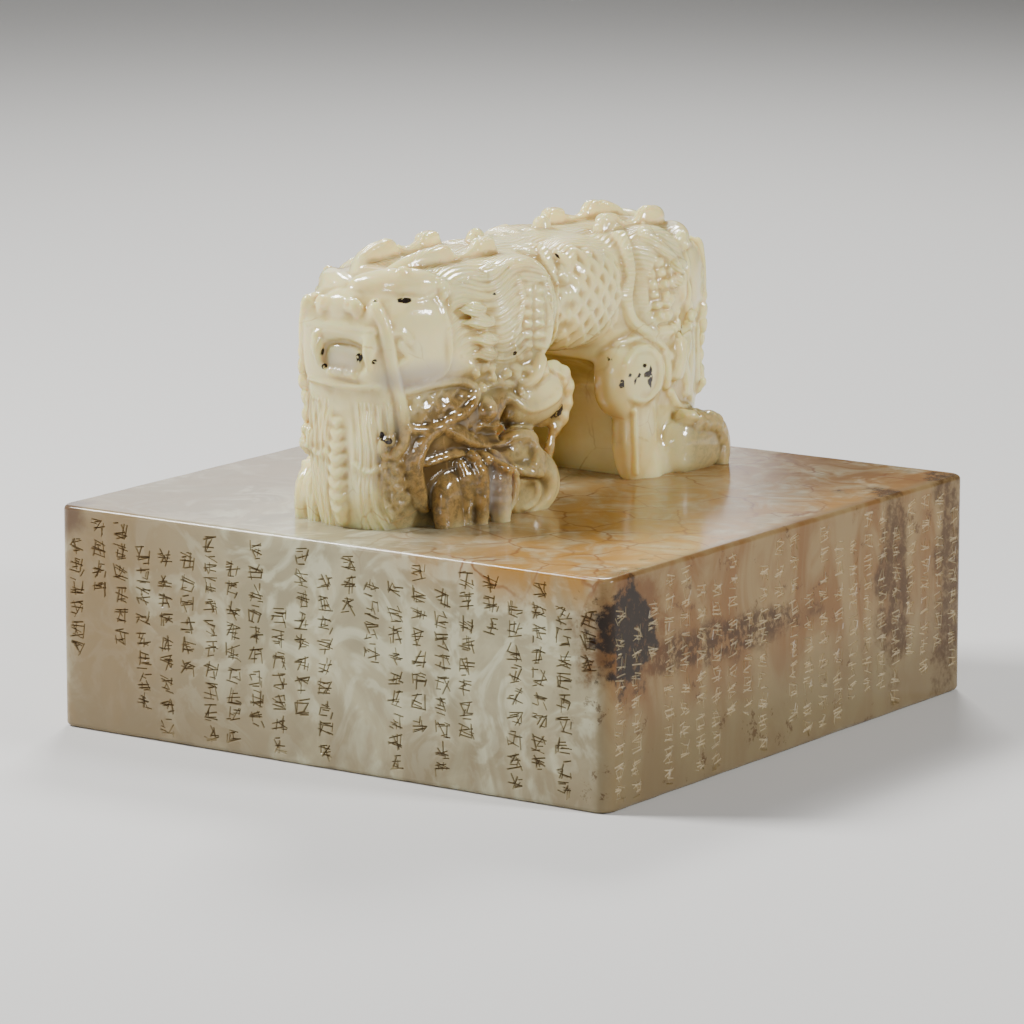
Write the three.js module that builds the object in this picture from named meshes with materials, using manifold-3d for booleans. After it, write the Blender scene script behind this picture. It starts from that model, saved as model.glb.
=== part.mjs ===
// A jade seal: one square block of stone with two dragons carved from its top as a knop.
// Lengths are in millimetres, +Z is up and the origin is the middle of the underside.
// The nearer dragon faces -Y. The other one is the same carving turned half round.

import * as THREE from 'three';
import { mergeVertices } from 'three/addons/utils/BufferGeometryUtils.js';
import Module from 'manifold-3d';

const wasm = await Module();
wasm.setup();

// Driving dimensions of the block
const block = {
  side: 104,
  height: 35.7,
  corner_radius: 2.1,
  edge_round: 0.7,
};

// The printing face on the underside: a plain rim round a sunk ground with raised bars
const seal_face = {
  rim: 8,
  depth: 1.6,
  bar: 5.2,
  gap: 7.6,
};

// The knop and the way through it for a cord
const knop = {
  length: 90,
  width: 33,
  height: 44,
  turn_deg: -1.9,
  shift_x: -1.5,
  shift_y: -0.5,
  sunk: 1.2,
};
const passage = {
  width: 40,
  height: 21.5,
};

// The knop is drawn on squares, as a carver's sketch is: so many long, wide and high.
// Every point and radius of the figures below is a number of these squares.
const squares = { length: 90, width: 33, height: 44 };
const across = knop.width / squares.width;
const along = knop.length / squares.length;
const up = knop.height / squares.height;

const jade = new THREE.MeshStandardMaterial({ color: 0xe3dfc2, roughness: 0.28, metalness: 0 });

// Turns a three.js geometry into a solid that can be joined and cut
function solid(geometry) {
  const bare = geometry.index ? geometry.clone() : mergeVertices(geometry);
  bare.deleteAttribute('normal');
  bare.deleteAttribute('uv');
  const merged = mergeVertices(bare, 1e-5);
  const corners = merged.index.array;
  const kept = [];
  for (let i = 0; i < corners.length; i += 3) {
    const [a, b, c] = [corners[i], corners[i + 1], corners[i + 2]];
    if (a !== b && b !== c && c !== a) kept.push(a, b, c);
  }
  return new wasm.Manifold(new wasm.Mesh({
    numProp: 3,
    vertProperties: new Float32Array(merged.attributes.position.array),
    triVerts: new Uint32Array(kept),
  }));
}

function join(solids) {
  return solids.reduce((whole, next) => whole.add(next));
}

// Moves every vertex of a geometry by a rule that takes a Vector3 and changes it
function reshape(geometry, rule) {
  const place = geometry.attributes.position;
  const vertex = new THREE.Vector3();
  for (let i = 0; i < place.count; i += 1) {
    vertex.fromBufferAttribute(place, i);
    rule(vertex);
    place.setXYZ(i, vertex.x, vertex.y, vertex.z);
  }
  return geometry;
}

// A point of the knop's sketch, in millimetres
function spot([x, y, h]) {
  return new THREE.Vector3(x * across, y * along, block.height + h * up);
}

// Signed power, which turns a circle into a rounder or squarer outline
function squarer(value, power) {
  return Math.sign(value) * Math.abs(value) ** power;
}

// A rounded lump: an ellipsoid, boxier where power is under 1, leaning by turns about X and Z
function lump(centre, radii, { power = 1, lean = 0, turn = 0, sides = 6, rings = 4 } = {}) {
  const shape = reshape(new THREE.SphereGeometry(1, sides, rings), (v) => {
    v.set(
      squarer(v.x, power) * radii[0] * across,
      squarer(v.z, power) * radii[1] * along,
      -squarer(v.y, power) * radii[2] * up,
    );
  });
  shape.rotateX(lean * Math.PI / 180);
  shape.rotateZ(turn * Math.PI / 180);
  const middle = spot(centre);
  shape.translate(middle.x, middle.y, middle.z);
  return solid(shape);
}

// A rounded bar bent along a smooth curve through the points, each with its own radius.
// flat is its thickness along the direction side, as a share of its depth.
function limb(points, radii, { sides = 6, steps = 3, flat = 1, side = [1, 0, 0] } = {}) {
  const curve = new THREE.CatmullRomCurve3(points.map(spot));
  const last = radii.length - 1;
  const radius_at = (t) => {
    const i = Math.min(Math.floor(t * last), last - 1);
    return THREE.MathUtils.lerp(radii[i], radii[i + 1], t * last - i) * up;
  };
  const side_way = new THREE.Vector3(...side);
  const shape = reshape(new THREE.CapsuleGeometry(1, 2, 1, sides, steps), (v) => {
    const t = THREE.MathUtils.clamp((v.y + 1) / 2, 0, 1);
    const beyond = v.y - (2 * t - 1);
    const radius = radius_at(t);
    const ahead = curve.getTangent(t);
    const down = new THREE.Vector3().crossVectors(side_way, ahead).normalize();
    const out = new THREE.Vector3().crossVectors(ahead, down);
    const middle = curve.getPoint(t).addScaledVector(ahead, beyond * radius);
    middle.addScaledVector(out, v.x * radius * flat);
    middle.addScaledVector(down, v.z * radius);
    v.copy(middle);
  });
  return solid(shape);
}

// The same carving on both sides of the head
function pair(make) {
  return [make(1), make(-1)];
}

// The breast and neck, standing from the block up into the mane.
// Each ring is height, front, back and half width.
function breast() {
  const rings = [
    [-1.2, -40.0, -19.0, 7.0],
    [6, -42.0, -19.0, 8.2],
    [14, -42.8, -18.8, 9.6],
    [22, -42.0, -18.5, 11.0],
    [30, -40.0, -15.0, 11.6],
    [37, -36.0, -13.0, 10.2],
    [41, -30.0, -14.0, 6.0],
  ];
  const sides = 16;
  const shape = new THREE.CylinderGeometry(1, 1, 1, sides, rings.length - 1);
  return solid(reshape(shape, (v) => {
    const [h, front, back, half] = rings[Math.round((v.y + 0.5) * (rings.length - 1))];
    const centre = (front + back) / 2;
    const reach = (back - front) / 2;
    v.copy(spot([
      squarer(v.x, 0.7) * half,
      centre - squarer(v.z, 0.7) * reach,
      h,
    ]));
  }));
}

// Both dragons share one arched body, seen between their manes
function shared_body() {
  const back = limb(
    [[0, -24, 31], [0, -8, 31.8], [0, 8, 31.8], [0, 24, 31]],
    [9.0, 9.6, 9.6, 9.0],
    { sides: 12, steps: 3, flat: 1.1 },
  );
  const flank = lump([5.0, 7.4, 31.4], [7.8, 13.4, 9.4], { sides: 12, rings: 6 });
  return join([back, flank, turned_half_round(flank)]);
}

// The way through under the body: upright walls below a round arch
function cord_way() {
  const half = passage.width / 2;
  const spring = passage.height * 0.62;
  const outline = new THREE.Shape();
  outline.moveTo(-half, -knop.sunk * 2);
  outline.lineTo(half, -knop.sunk * 2);
  outline.lineTo(half, spring);
  outline.absellipse(0, spring, half, passage.height - spring, 0, Math.PI, false);
  outline.lineTo(-half, -knop.sunk * 2);
  const reach = knop.width * 2;
  const shape = new THREE.ExtrudeGeometry(outline, {
    depth: reach,
    bevelEnabled: false,
    curveSegments: 8,
  });
  shape.rotateX(Math.PI / 2);
  shape.rotateZ(Math.PI / 2);
  shape.translate(-reach / 2, 0, block.height);
  return solid(shape);
}

function head() {
  const mass = [
    lump([0, -31.5, 32.5], [9.6, 10.5, 7.6], { power: 0.7, sides: 10, rings: 5 }),
    lump([0, -37.5, 28.6], [7.4, 6.4, 8.4], { power: 0.55, sides: 12, rings: 5 }),
    lump([0, -41.2, 34.9], [7.0, 3.2, 3.0], { power: 0.75, sides: 8, rings: 3 }),
    lip(31.7, -43.9),
    lip(24.4, -43.6),
    ...pair((s) => lump([s * 8.2, -36.2, 29.0], [3.2, 7.0, 8.6], { sides: 7, rings: 5 })),
    ...pair((s) => lump([s * 9.6, -27.6, 26.6], [2.8, 5.4, 7.4], { sides: 6, rings: 4 })),
    ...pair((s) => lump([s * 3.6, -39.6, 36.9], [2.6, 2.6, 2.4], { sides: 6, rings: 3 })),
    ...pair((s) => limb(
      [[s * 4.2, -38.4, 37.4], [s * 6.4, -34.6, 38.1], [s * 8.6, -30.2, 37.6]],
      [2.6, 3.2, 2.2],
      { sides: 5, steps: 2 },
    )),
    ...pair((s) => lump([s * 10.2, -32.3, 36.8], [1.6, 2.6, 2.4], { lean: -30, sides: 5, rings: 3 })),
  ];
  return join(mass).subtract(mouth()).add(tongue());
}

function mouth() {
  return lump([0, -44, 28.0], [5.9, 7.0, 2.7], { power: 0.5, sides: 8, rings: 3 });
}

// A lip is a raised cord across the front of the muzzle
function lip(h, front) {
  return limb(
    [[-6.6, front + 0.6, h], [0, front, h + 0.1], [6.6, front + 0.6, h]],
    [0.9, 0.9, 0.9],
    { sides: 4, steps: 2, side: [0, 1, 0] },
  );
}

function tongue() {
  return lump([0, -39.5, 27.2], [3.8, 4.4, 2.2], { power: 0.6, sides: 6, rings: 3 });
}

// Two horns lie back over the head, each with two round swellings and a blunt end
function horns(set_back) {
  return pair((s) => join([
    limb(
      [[s * 4.4, -36.5, 39.2], [s * 5.2, -29 + set_back, 40.4], [s * 5.6, -13 + set_back, 39.8]],
      [1.2, 2.2, 1.9],
      { sides: 5, steps: 3 },
    ),
    lump([s * 5.4, -23 + set_back, 41.2], [2.0, 3.4, 2.3], { sides: 6, rings: 3 }),
    lump([s * 5.6, -15 + set_back, 41.3], [2.0, 3.0, 2.5], { power: 0.7, sides: 6, rings: 3 }),
  ])).concat(lump([0, -9.4, 42.0], [2.0, 1.8, 2.0], { sides: 5, rings: 3 }));
}

// The mane hangs in a rounded cape on each side, longer on the side with the raised paw
function mane() {
  const long_side = [
    lump([9.2, -13.8, 31.0], [5.6, 11.6, 9.6], { power: 0.85, sides: 10, rings: 6 }),
    limb([[12.2, -6.4, 26.0], [13.4, -9.0, 21.6], [12.8, -13.6, 20.0]], [2.6, 2.2, 1.2], { sides: 6, steps: 2 }),
  ];
  const short_side = [
    lump([-7.6, -25.6, 31.0], [6.2, 9.2, 9.6], { power: 0.85, sides: 10, rings: 6 }),
    limb([[-11.5, -24, 26], [-12.4, -29, 21.6], [-11.6, -32, 20.0]], [2.8, 2.2, 1.0], { sides: 6, steps: 2 }),
  ];
  return [...long_side, ...short_side, ...locks(1, -4.6, 4.0, 4), ...locks(-1, -18.4, 2.2, 3)];
}

// Locks of hair stream back over the cape in wavy ridges, one under the other
function locks(s, rear, spread, count) {
  const rows = Array.from({ length: count }, (_, i) => i / (count - 1));
  return rows.map((f) => {
    const top = THREE.MathUtils.lerp(38.5, 25.5, f);
    const bulge = Math.sin(Math.PI * (0.25 + 0.6 * f));
    const middle = (rear - 30) / 2;
    return limb(
      [
        [s * (9.0 + 1.6 * bulge), -30.5 + 2.0 * f, top - 1.2],
        [s * (12.4 + 1.6 * bulge), middle, top + 0.6],
        [s * (10.4 + 2.6 * bulge), rear - spread * Math.abs(f - 0.4), top - 1.4],
      ],
      [0.8, 1.3, 0.6],
      { sides: 4, steps: 2 },
    );
  });
}

// Hair falls from the chin in two locks with the banded breast between them
function beard() {
  const count = 6;
  const bands = Array.from({ length: count }, (_, i) => {
    const f = i / (count - 1);
    const h = THREE.MathUtils.lerp(18, 2.4, f);
    const front = -42.6 + 2.4 * f * f;
    return lump([0, front, h], [2.9 - 0.9 * f, 1.6, 1.5], { sides: 5, rings: 3 });
  });
  const chin = lump([0, -41.6, 21.6], [5.4, 2.4, 2.6], { power: 0.8, sides: 6, rings: 4 });
  const sides = pair((s) => limb(
    [[s * 5.0, -42.0, 21.0], [s * 5.9, -42.2, 14.5], [s * 6.2, -40.4, 8.0], [s * 5.2, -37.6, 1.6]],
    [2.3, 2.1, 1.6, 0.9],
    { sides: 5, steps: 3 },
  ));
  return [chin, ...bands, ...sides];
}

// A long whisker drops from each side of the nose and curls up at its end
function whiskers() {
  return pair((s) => limb(
    [
      [s * 7.2, -42.6, 35.6],
      [s * 8.4, -41.6, 30.6],
      [s * 9.2, -40.2, 24.0],
      [s * 9.6, -38.8, 18.6],
      [s * 9.2, -39.4, 14.8],
      [s * 8.0, -41.6, 14.2],
      [s * 7.6, -42.2, 16.6],
    ],
    [1.1, 1.0, 1.1, 1.1, 1.0, 1.0, 0.7],
    { sides: 4, steps: 8 },
  ));
}

// The raised forepaw: elbow behind, a round wrist, and toes that hang to the block
function raised_paw() {
  const toes = [
    [[8.6, -24.4, 8.4], [9.8, -26.2, 5.0], [9.2, -25.6, -0.4]],
    [[11.6, -24.0, 9.6], [12.9, -25.6, 5.4], [12.4, -25.0, -0.4]],
    [[14.0, -20.8, 9.6], [15.6, -22.6, 5.6], [15.2, -22.4, -0.4]],
  ].map((points) => limb(points, [1.9, 2.0, 1.5], { sides: 5, steps: 2 }));
  return [
    lump([6.8, -27.5, 14.0], [5.2, 10.0, 9.6], { power: 0.9, sides: 8, rings: 5 }),
    lump([8.6, -16.8, 6.4], [6.0, 8.4, 8.2], { power: 0.8, sides: 8, rings: 4 }),
    limb([[11.0, -20.0, 19.0], [12.4, -15.6, 16.6], [12.8, -9.6, 15.4], [12.0, -5.0, 16.6]],
      [2.0, 3.0, 3.6, 2.8], { sides: 6, steps: 3 }),
    lump([13.0, -23.8, 17.4], [2.4, 2.4, 2.4], { sides: 6, rings: 4 }),
    lump([13.2, -16.1, 10.2], [2.9, 4.6, 4.8], { sides: 6, rings: 4 }),
    limb([[10.6, -34.6, 18.4], [11.6, -28.6, 15.8], [13.4, -23.6, 12.6], [14.4, -19.6, 15.4],
      [14.8, -13.6, 14.4], [14.4, -10.6, 9.6]], [0.8, 1.0, 1.1, 1.1, 1.2, 0.9], { sides: 4, steps: 6 }),
    limb([[11.2, -29.0, 18.6], [10.2, -33.6, 16.0], [8.8, -35.4, 11.0], [8.0, -33.4, 5.4],
      [7.8, -29.6, 2.4]], [1.0, 1.2, 1.2, 1.1, 0.8], { sides: 4, steps: 5 }),
    ...toes,
    limb([[13.6, -15.0, 8.0], [13.8, -10.4, 7.0], [13.4, -9.0, 3.2], [13.0, -12.0, 0.2]],
      [1.7, 2.1, 1.8, 1.3], { sides: 5, steps: 3 }),
  ];
}

// The standing forepaw: a heavy knee, an upright shin and a foot flat on the block
function standing_paw(tuck) {
  const toes = [0, 1, 2].map((i) => {
    const x = tuck - 9.4 - 3.0 * i;
    const tip = -40.2 + 0.5 * Math.abs(i - 1);
    return limb([[x, tip + 5, 6.6], [x, tip + 1.4, 5.0], [x, tip, -0.4]], [1.6, 1.8, 1.3],
      { sides: 5, steps: 2 });
  });
  return [
    lump([-10.2, -20.0, 15.6], [4.4, 6.8, 7.6], { sides: 8, rings: 5 }),
    limb([[-10.4, -20.6, 12], [-10.8, -21.6, 6], [-11.0, -22.6, -0.6]], [3.4, 3.0, 3.6], { sides: 8, steps: 2 }),
    lump([tuck - 11.8, -33.0, 3.4], [4.6, 8.0, 6.6], { power: 0.85, sides: 8, rings: 4 }),
    ...toes,
  ];
}

// The two dragons differ a little, as hand carving does: in how far back the horns lie
// and how near the standing foot is tucked to the breast
function dragon({ horn_set_back, foot_tuck }) {
  return join([
    head(),
    ...horns(horn_set_back),
    ...mane(),
    ...beard(),
    ...whiskers(),
    ...raised_paw(),
    ...standing_paw(foot_tuck),
  ]);
}

function turned_half_round(shape) {
  return shape.rotate([0, 0, 180]);
}

function make_knop() {
  const core = join([breast(), turned_half_round(breast()), shared_body()]).subtract(cord_way());
  const near_dragon = dragon({ horn_set_back: 0, foot_tuck: 3.4 });
  const rear_dragon = dragon({ horn_set_back: -5, foot_tuck: 0 });
  const carving = join([core, near_dragon, turned_half_round(rear_dragon)]);
  const floor = block.height - knop.sunk;
  const above = new THREE.BoxGeometry(knop.width * 3, knop.length * 2, knop.height * 2);
  above.translate(0, 0, floor + knop.height);
  return carving.intersect(solid(above))
    .rotate([0, 0, knop.turn_deg])
    .translate([knop.shift_x, knop.shift_y, 0]);
}

// The block: a square with round upright corners and softened edges above and below
function make_block() {
  const half = block.side / 2 - block.edge_round;
  const round = block.corner_radius;
  const outline = new THREE.Shape();
  outline.moveTo(-half + round, -half);
  outline.lineTo(half - round, -half);
  outline.absarc(half - round, -half + round, round, -Math.PI / 2, 0, false);
  outline.absarc(half - round, half - round, round, 0, Math.PI / 2, false);
  outline.absarc(-half + round, half - round, round, Math.PI / 2, Math.PI, false);
  outline.absarc(-half + round, -half + round, round, Math.PI, Math.PI * 1.5, false);
  const shape = new THREE.ExtrudeGeometry(outline, {
    depth: block.height - 2 * block.edge_round,
    bevelThickness: block.edge_round,
    bevelSize: block.edge_round,
    bevelSegments: 1,
    curveSegments: 4,
  });
  shape.translate(0, 0, block.edge_round);
  return solid(shape).subtract(seal_ground());
}

// The sunk ground of the printing face: everything inside the rim but the raised bars
function seal_ground() {
  const inner = block.side - 2 * seal_face.rim;
  const sunk = new THREE.BoxGeometry(inner, inner, 2 * seal_face.depth);
  return solid(sunk).subtract(join(raised_bars(inner)));
}

// Raised bars in a plain meander: long and short ones by turns, stepped from row to row
function raised_bars(inner) {
  const pitch = seal_face.bar + seal_face.gap;
  const rows = Math.floor((inner - seal_face.gap) / pitch);
  const used = rows * pitch - seal_face.gap;
  const bars = [];
  for (let row = 0; row < rows; row += 1) {
    const y = -used / 2 + seal_face.bar / 2 + row * pitch;
    const split = used * (row % 2 ? 0.62 : 0.38);
    const left = split - seal_face.gap / 2;
    const right = used - split - seal_face.gap / 2;
    bars.push(bar(left, seal_face.bar, -used / 2 + left / 2, y));
    bars.push(bar(right, seal_face.bar, used / 2 - right / 2, y));
    if (row + 1 < rows) {
      const link = row % 2 ? 0.8 : 0.2;
      bars.push(bar(seal_face.bar, pitch, -used / 2 + used * link, y + pitch / 2));
    }
  }
  return bars;
}

function bar(length, width, x, y) {
  const shape = new THREE.BoxGeometry(length, width, 4 * seal_face.depth);
  shape.translate(x, y, 0);
  return solid(shape);
}

function finished_geometry(whole) {
  const mesh = whole.getMesh();
  const geometry = new THREE.BufferGeometry();
  const points = new Float32Array(mesh.vertProperties);
  geometry.setAttribute('position', new THREE.BufferAttribute(points, 3));
  geometry.setIndex(new THREE.BufferAttribute(new Uint32Array(mesh.triVerts), 1));
  return geometry;
}

const seal = new THREE.Group();
const body = new THREE.Mesh(finished_geometry(make_block().add(make_knop())), jade);
body.name = 'jade_seal';
seal.add(body);

export default seal;
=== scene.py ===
"""A jade seal: a square block with engraved sides and a knop of two dragons back to back.

Lengths inside the shape functions are millimetres, and become metres when a mesh is made.
The knop is drawn on a sketch frame of its own: x across the dragons, y along them with the
front dragon at negative y, and h up from the top of the block. The back dragon is the front
one turned half round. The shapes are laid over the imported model, whose box they stay inside.
"""

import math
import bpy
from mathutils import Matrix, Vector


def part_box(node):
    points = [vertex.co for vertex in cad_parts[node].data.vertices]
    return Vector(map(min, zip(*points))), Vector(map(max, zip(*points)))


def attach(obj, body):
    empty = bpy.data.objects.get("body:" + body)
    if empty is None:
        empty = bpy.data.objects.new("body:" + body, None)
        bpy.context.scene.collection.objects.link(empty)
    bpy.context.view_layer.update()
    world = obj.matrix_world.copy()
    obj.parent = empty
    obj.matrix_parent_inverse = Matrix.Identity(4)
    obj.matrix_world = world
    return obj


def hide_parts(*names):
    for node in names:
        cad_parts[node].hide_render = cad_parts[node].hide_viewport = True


bl_info = {
    "name": "Jade Seal",
    "version": (1, 0, 0),
    "blender": (4, 5, 0),
    "location": "3D View > Sidebar > Jade Seal",
    "description": "Builds a jade seal with engraved sides and a double dragon knop",
    "category": "Add Mesh",
}

import bpy
import numpy as np
from bpy.props import FloatProperty, FloatVectorProperty, IntProperty, PointerProperty
from bpy.types import Operator, Panel, PropertyGroup
from mathutils import Matrix, Vector

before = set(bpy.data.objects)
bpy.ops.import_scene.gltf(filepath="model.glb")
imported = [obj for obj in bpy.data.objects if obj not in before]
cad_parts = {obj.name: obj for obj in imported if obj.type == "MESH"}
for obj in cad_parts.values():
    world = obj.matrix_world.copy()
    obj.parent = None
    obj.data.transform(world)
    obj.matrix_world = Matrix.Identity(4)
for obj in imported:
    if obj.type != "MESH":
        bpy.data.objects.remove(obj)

MM = 0.001
CAD_NODE = "jade_seal"
CAD_LOW, CAD_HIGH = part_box(CAD_NODE)
BLOCK_TOP = 35.7

# How the knop's sketch frame lies on the block, and how deep the knop goes into it
KNOP_TURN = math.radians(-1.9)
KNOP_SHIFT = np.array([-1.5, -0.5, BLOCK_TOP])
KNOP_SUNK = 0.9

# The printing face: the flat rim, the depth of its ground, and how high its bars reach into
# the block, all in millimetres
RIM_WIDTH = 8
GROUND_DEPTH = 1.6
BAR_HEIGHT = 1.8

# The spacing of the finest hair lines, in millimetres
HAIR_PITCH = 0.74


# Surfaces of two parameters


def skin(rings, start, end):
    """A closed surface (points, triangles) over a stack of rings, an array (rows, sides, 3).

    Each ring is joined to the next by two triangles a side. The first ring closes on the
    point start and the last on the point end, each by a fan.
    """
    rows, sides = rings.shape[:2]
    points = np.concatenate([start[None], rings.reshape(-1, 3), end[None]])
    row = 1 + np.arange(rows - 1)[:, None] * sides
    here = np.arange(sides)
    after = (here + 1) % sides
    a, b = row + here, row + after
    c, d = a + sides, b + sides
    last = 1 + (rows - 1) * sides
    pole = np.full(sides, last + sides)
    triangles = [
        np.stack([a, b, d], -1).reshape(-1, 3),
        np.stack([a, d, c], -1).reshape(-1, 3),
        np.stack([np.zeros(sides, int), 1 + after, 1 + here], -1),
        np.stack([pole, last + here, last + after], -1),
    ]
    return points, np.concatenate(triangles)


def squarer(value, power):
    """The value's size to a power with its sign kept: under 1 makes a circle squarer."""
    return np.sign(value) * np.abs(value) ** power


def lump(centre, radii, power=1.0, lean=0.0, turn=0.0, sides=36, rows=19):
    """A rounded lump round centre.

    With longitude a and latitude b, x = cos b cos a, y = cos b sin a and z = sin b, each to
    the power, times its radius. It then leans about X and turns about Z, in degrees.
    """
    a = np.linspace(0, 2 * np.pi, sides, endpoint=False)[None, :]
    b = np.linspace(-np.pi / 2, np.pi / 2, rows + 2)[1:-1, None]
    ball = np.stack(
        [
            squarer(np.cos(b) * np.cos(a), power) * radii[0],
            squarer(np.cos(b) * np.sin(a), power) * radii[1],
            squarer(np.sin(b) + 0 * a, power) * radii[2],
        ],
        -1,
    )
    spin = np.array(
        Matrix.Rotation(math.radians(turn), 3, "Z") @ Matrix.Rotation(math.radians(lean), 3, "X")
    )
    centre = np.array(centre, float)
    top = spin @ np.array([0, 0, radii[2]])
    return skin(ball @ spin.T + centre, centre - top, centre + top)


def smooth_path(points, count):
    """Places and headings at count even steps of a Catmull-Rom curve through the points.

    Between two points the curve is the cubic whose slope at each is half the way from its
    neighbour before to its neighbour after.
    """
    points = np.array(points, float)
    padded = np.concatenate([[2 * points[0] - points[1]], points, [2 * points[-1] - points[-2]]])
    t = np.linspace(0, len(points) - 1, count)
    i = np.minimum(t.astype(int), len(points) - 2)
    f = (t - i)[:, None]
    p0, p1, p2, p3 = (padded[i + k] for k in range(4))
    place = 0.5 * (
        2 * p1
        + (p2 - p0) * f
        + (2 * p0 - 5 * p1 + 4 * p2 - p3) * f**2
        + (3 * p1 - p0 - 3 * p2 + p3) * f**3
    )
    heading = 0.5 * (
        (p2 - p0)
        + 2 * (2 * p0 - 5 * p1 + 4 * p2 - p3) * f
        + 3 * (3 * p1 - p0 - 3 * p2 + p3) * f**2
    )
    return place, heading


def limb(points, radii, flat=1.0, side=(1, 0, 0), sides=16, per_span=10, ripple=(0, 0.0)):
    """A bar with round ends bent along the smooth path through the points.

    Across the path it is an ellipse: its radius runs smoothly through the radii, and is
    flat times that along side. ripple is (count, share): that many swellings along it, each
    a cosine of that share of the radius.
    """
    count = per_span * (len(points) - 1) + 1
    place, heading = smooth_path(points, count)
    radius = smooth_path(np.array(radii, float)[:, None], count)[0][:, 0]
    t = np.linspace(0, 1, count)
    radius = radius * (1 + ripple[1] * np.cos(2 * np.pi * ripple[0] * t))
    ahead = heading / np.linalg.norm(heading, axis=1, keepdims=True)
    down = np.cross(np.array(side, float), ahead)
    down /= np.linalg.norm(down, axis=1, keepdims=True)
    out = np.cross(ahead, down)
    cap = np.array([0.92, 0.7, 0.38])
    thin = np.sqrt(1 - cap**2)
    index = np.concatenate([[0, 0, 0], np.arange(count), [count - 1] * 3])
    shift = np.concatenate([-cap, np.zeros(count), cap[::-1]]) * radius[index]
    width = np.concatenate([thin, np.ones(count), thin[::-1]]) * radius[index]
    centre = place[index] + ahead[index] * shift[:, None]
    a = np.linspace(0, 2 * np.pi, sides, endpoint=False)
    across = out[index][:, None] * (np.cos(a) * flat)[None, :, None]
    depth = down[index][:, None] * np.sin(a)[None, :, None]
    rings = centre[:, None] + (across - depth) * width[:, None, None]
    start = place[0] - ahead[0] * radius[0]
    end = place[-1] + ahead[-1] * radius[-1]
    points, triangles = skin(rings, start, end)
    return points, triangles[:, ::-1]


def pair(make):
    """The same carving on both sides: what make gives for +1 and for -1."""
    return [make(1), make(-1)]


def half_round(part):
    """The part turned half round the upright axis: x and y change sign."""
    points, triangles = part
    return points * np.array([-1, -1, 1]), triangles


def joined(parts):
    """The parts as one (points, triangles), their corners numbered on."""
    offsets = np.cumsum([0] + [len(points) for points, _ in parts[:-1]])
    points = np.concatenate([points for points, _ in parts])
    triangles = np.concatenate([t + o for (_, t), o in zip(parts, offsets)])
    return points, triangles


# Meshes and objects


def new_object(name, part):
    """An object at the origin whose mesh is the part, turned from millimetres to metres."""
    points, triangles = part
    mesh = bpy.data.meshes.new(name)
    mesh.vertices.add(len(points))
    mesh.vertices.foreach_set("co", (points * MM).astype(np.float32).ravel())
    mesh.loops.add(triangles.size)
    mesh.loops.foreach_set("vertex_index", triangles.astype(np.int32).ravel())
    mesh.polygons.add(len(triangles))
    mesh.polygons.foreach_set("loop_start", np.arange(0, triangles.size, 3, dtype=np.int32))
    mesh.update(calc_edges=True)
    made = bpy.data.objects.new(name, mesh)
    bpy.context.scene.collection.objects.link(made)
    return made


def apply_modifiers(made):
    """Gives the object the mesh that its modifiers make, and takes the modifiers off."""
    graph = bpy.context.evaluated_depsgraph_get()
    mesh = bpy.data.meshes.new_from_object(made.evaluated_get(graph))
    old = made.data
    made.modifiers.clear()
    made.data = mesh
    mesh.name = made.name
    bpy.data.meshes.remove(old)


def combine(made, part, operation):
    """Cuts the part from the object, or joins it to it. The part's shapes don't overlap."""
    tool = new_object("tool", part)
    change = made.modifiers.new(operation, "BOOLEAN")
    change.operation = operation
    change.solver = "MANIFOLD"
    change.object = tool
    apply_modifiers(made)
    mesh = tool.data
    bpy.data.objects.remove(tool)
    bpy.data.meshes.remove(mesh)


def corners(mesh):
    """The mesh's vertices in millimetres, as an array (count, 3)."""
    points = np.empty(len(mesh.vertices) * 3, np.float32)
    mesh.vertices.foreach_get("co", points)
    return points.reshape(-1, 3).astype(float) / MM


def corner_normals(mesh):
    """The vertex normals as an array (count, 3)."""
    normals = np.empty(len(mesh.vertices) * 3, np.float32)
    mesh.vertex_normals.foreach_get("vector", normals)
    return normals.reshape(-1, 3).astype(float)


def set_corners(mesh, points):
    """Moves the mesh's vertices to the points, given in millimetres."""
    mesh.vertices.foreach_set("co", (points * MM).astype(np.float32).ravel())
    mesh.update()


def paint_on(mesh, name, values):
    """Stores one number a vertex under that name, for a material to read."""
    layer = mesh.attributes.new(name, "FLOAT", "POINT")
    layer.data.foreach_set("value", values.astype(np.float32))


def spread_out(mesh, values, times):
    """Values a vertex, each made the mean of its own and its neighbours', that many times."""
    edges = np.empty(len(mesh.edges) * 2, np.int32)
    mesh.edges.foreach_get("vertices", edges)
    one, two = edges.reshape(-1, 2).T
    count = len(mesh.vertices)
    shared = np.bincount(one, minlength=count) + np.bincount(two, minlength=count)
    for _ in range(times):
        near = np.bincount(one, values[two], count) + np.bincount(two, values[one], count)
        values = (values + near) / (1 + shared)
    return values


def hollows(mesh, spread):
    """How deep each vertex lies in a hollow: 0 on flat or raised places, up to 1.

    It is the mean place of the vertex and its neighbours less its own place, along the
    normal, evened out over the neighbours four times and in shares of spread millimetres.
    """
    points = corners(mesh)
    around = np.stack([spread_out(mesh, points[:, k], 1) for k in range(3)], -1)
    depth = ((around - points) * corner_normals(mesh)).sum(1)
    return np.clip(spread_out(mesh, depth, 4) / spread, 0, 1)


# Even noise, steps and patterns on whole arrays


def hashed(cells, seed):
    """A number from 0 to 1 for each whole-numbered cell, the same every time."""
    mixed = np.sin(cells @ np.array([12.9898, 78.233, 37.719]) + seed * 4.1414) * 43758.5453
    return mixed - np.floor(mixed)


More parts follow.
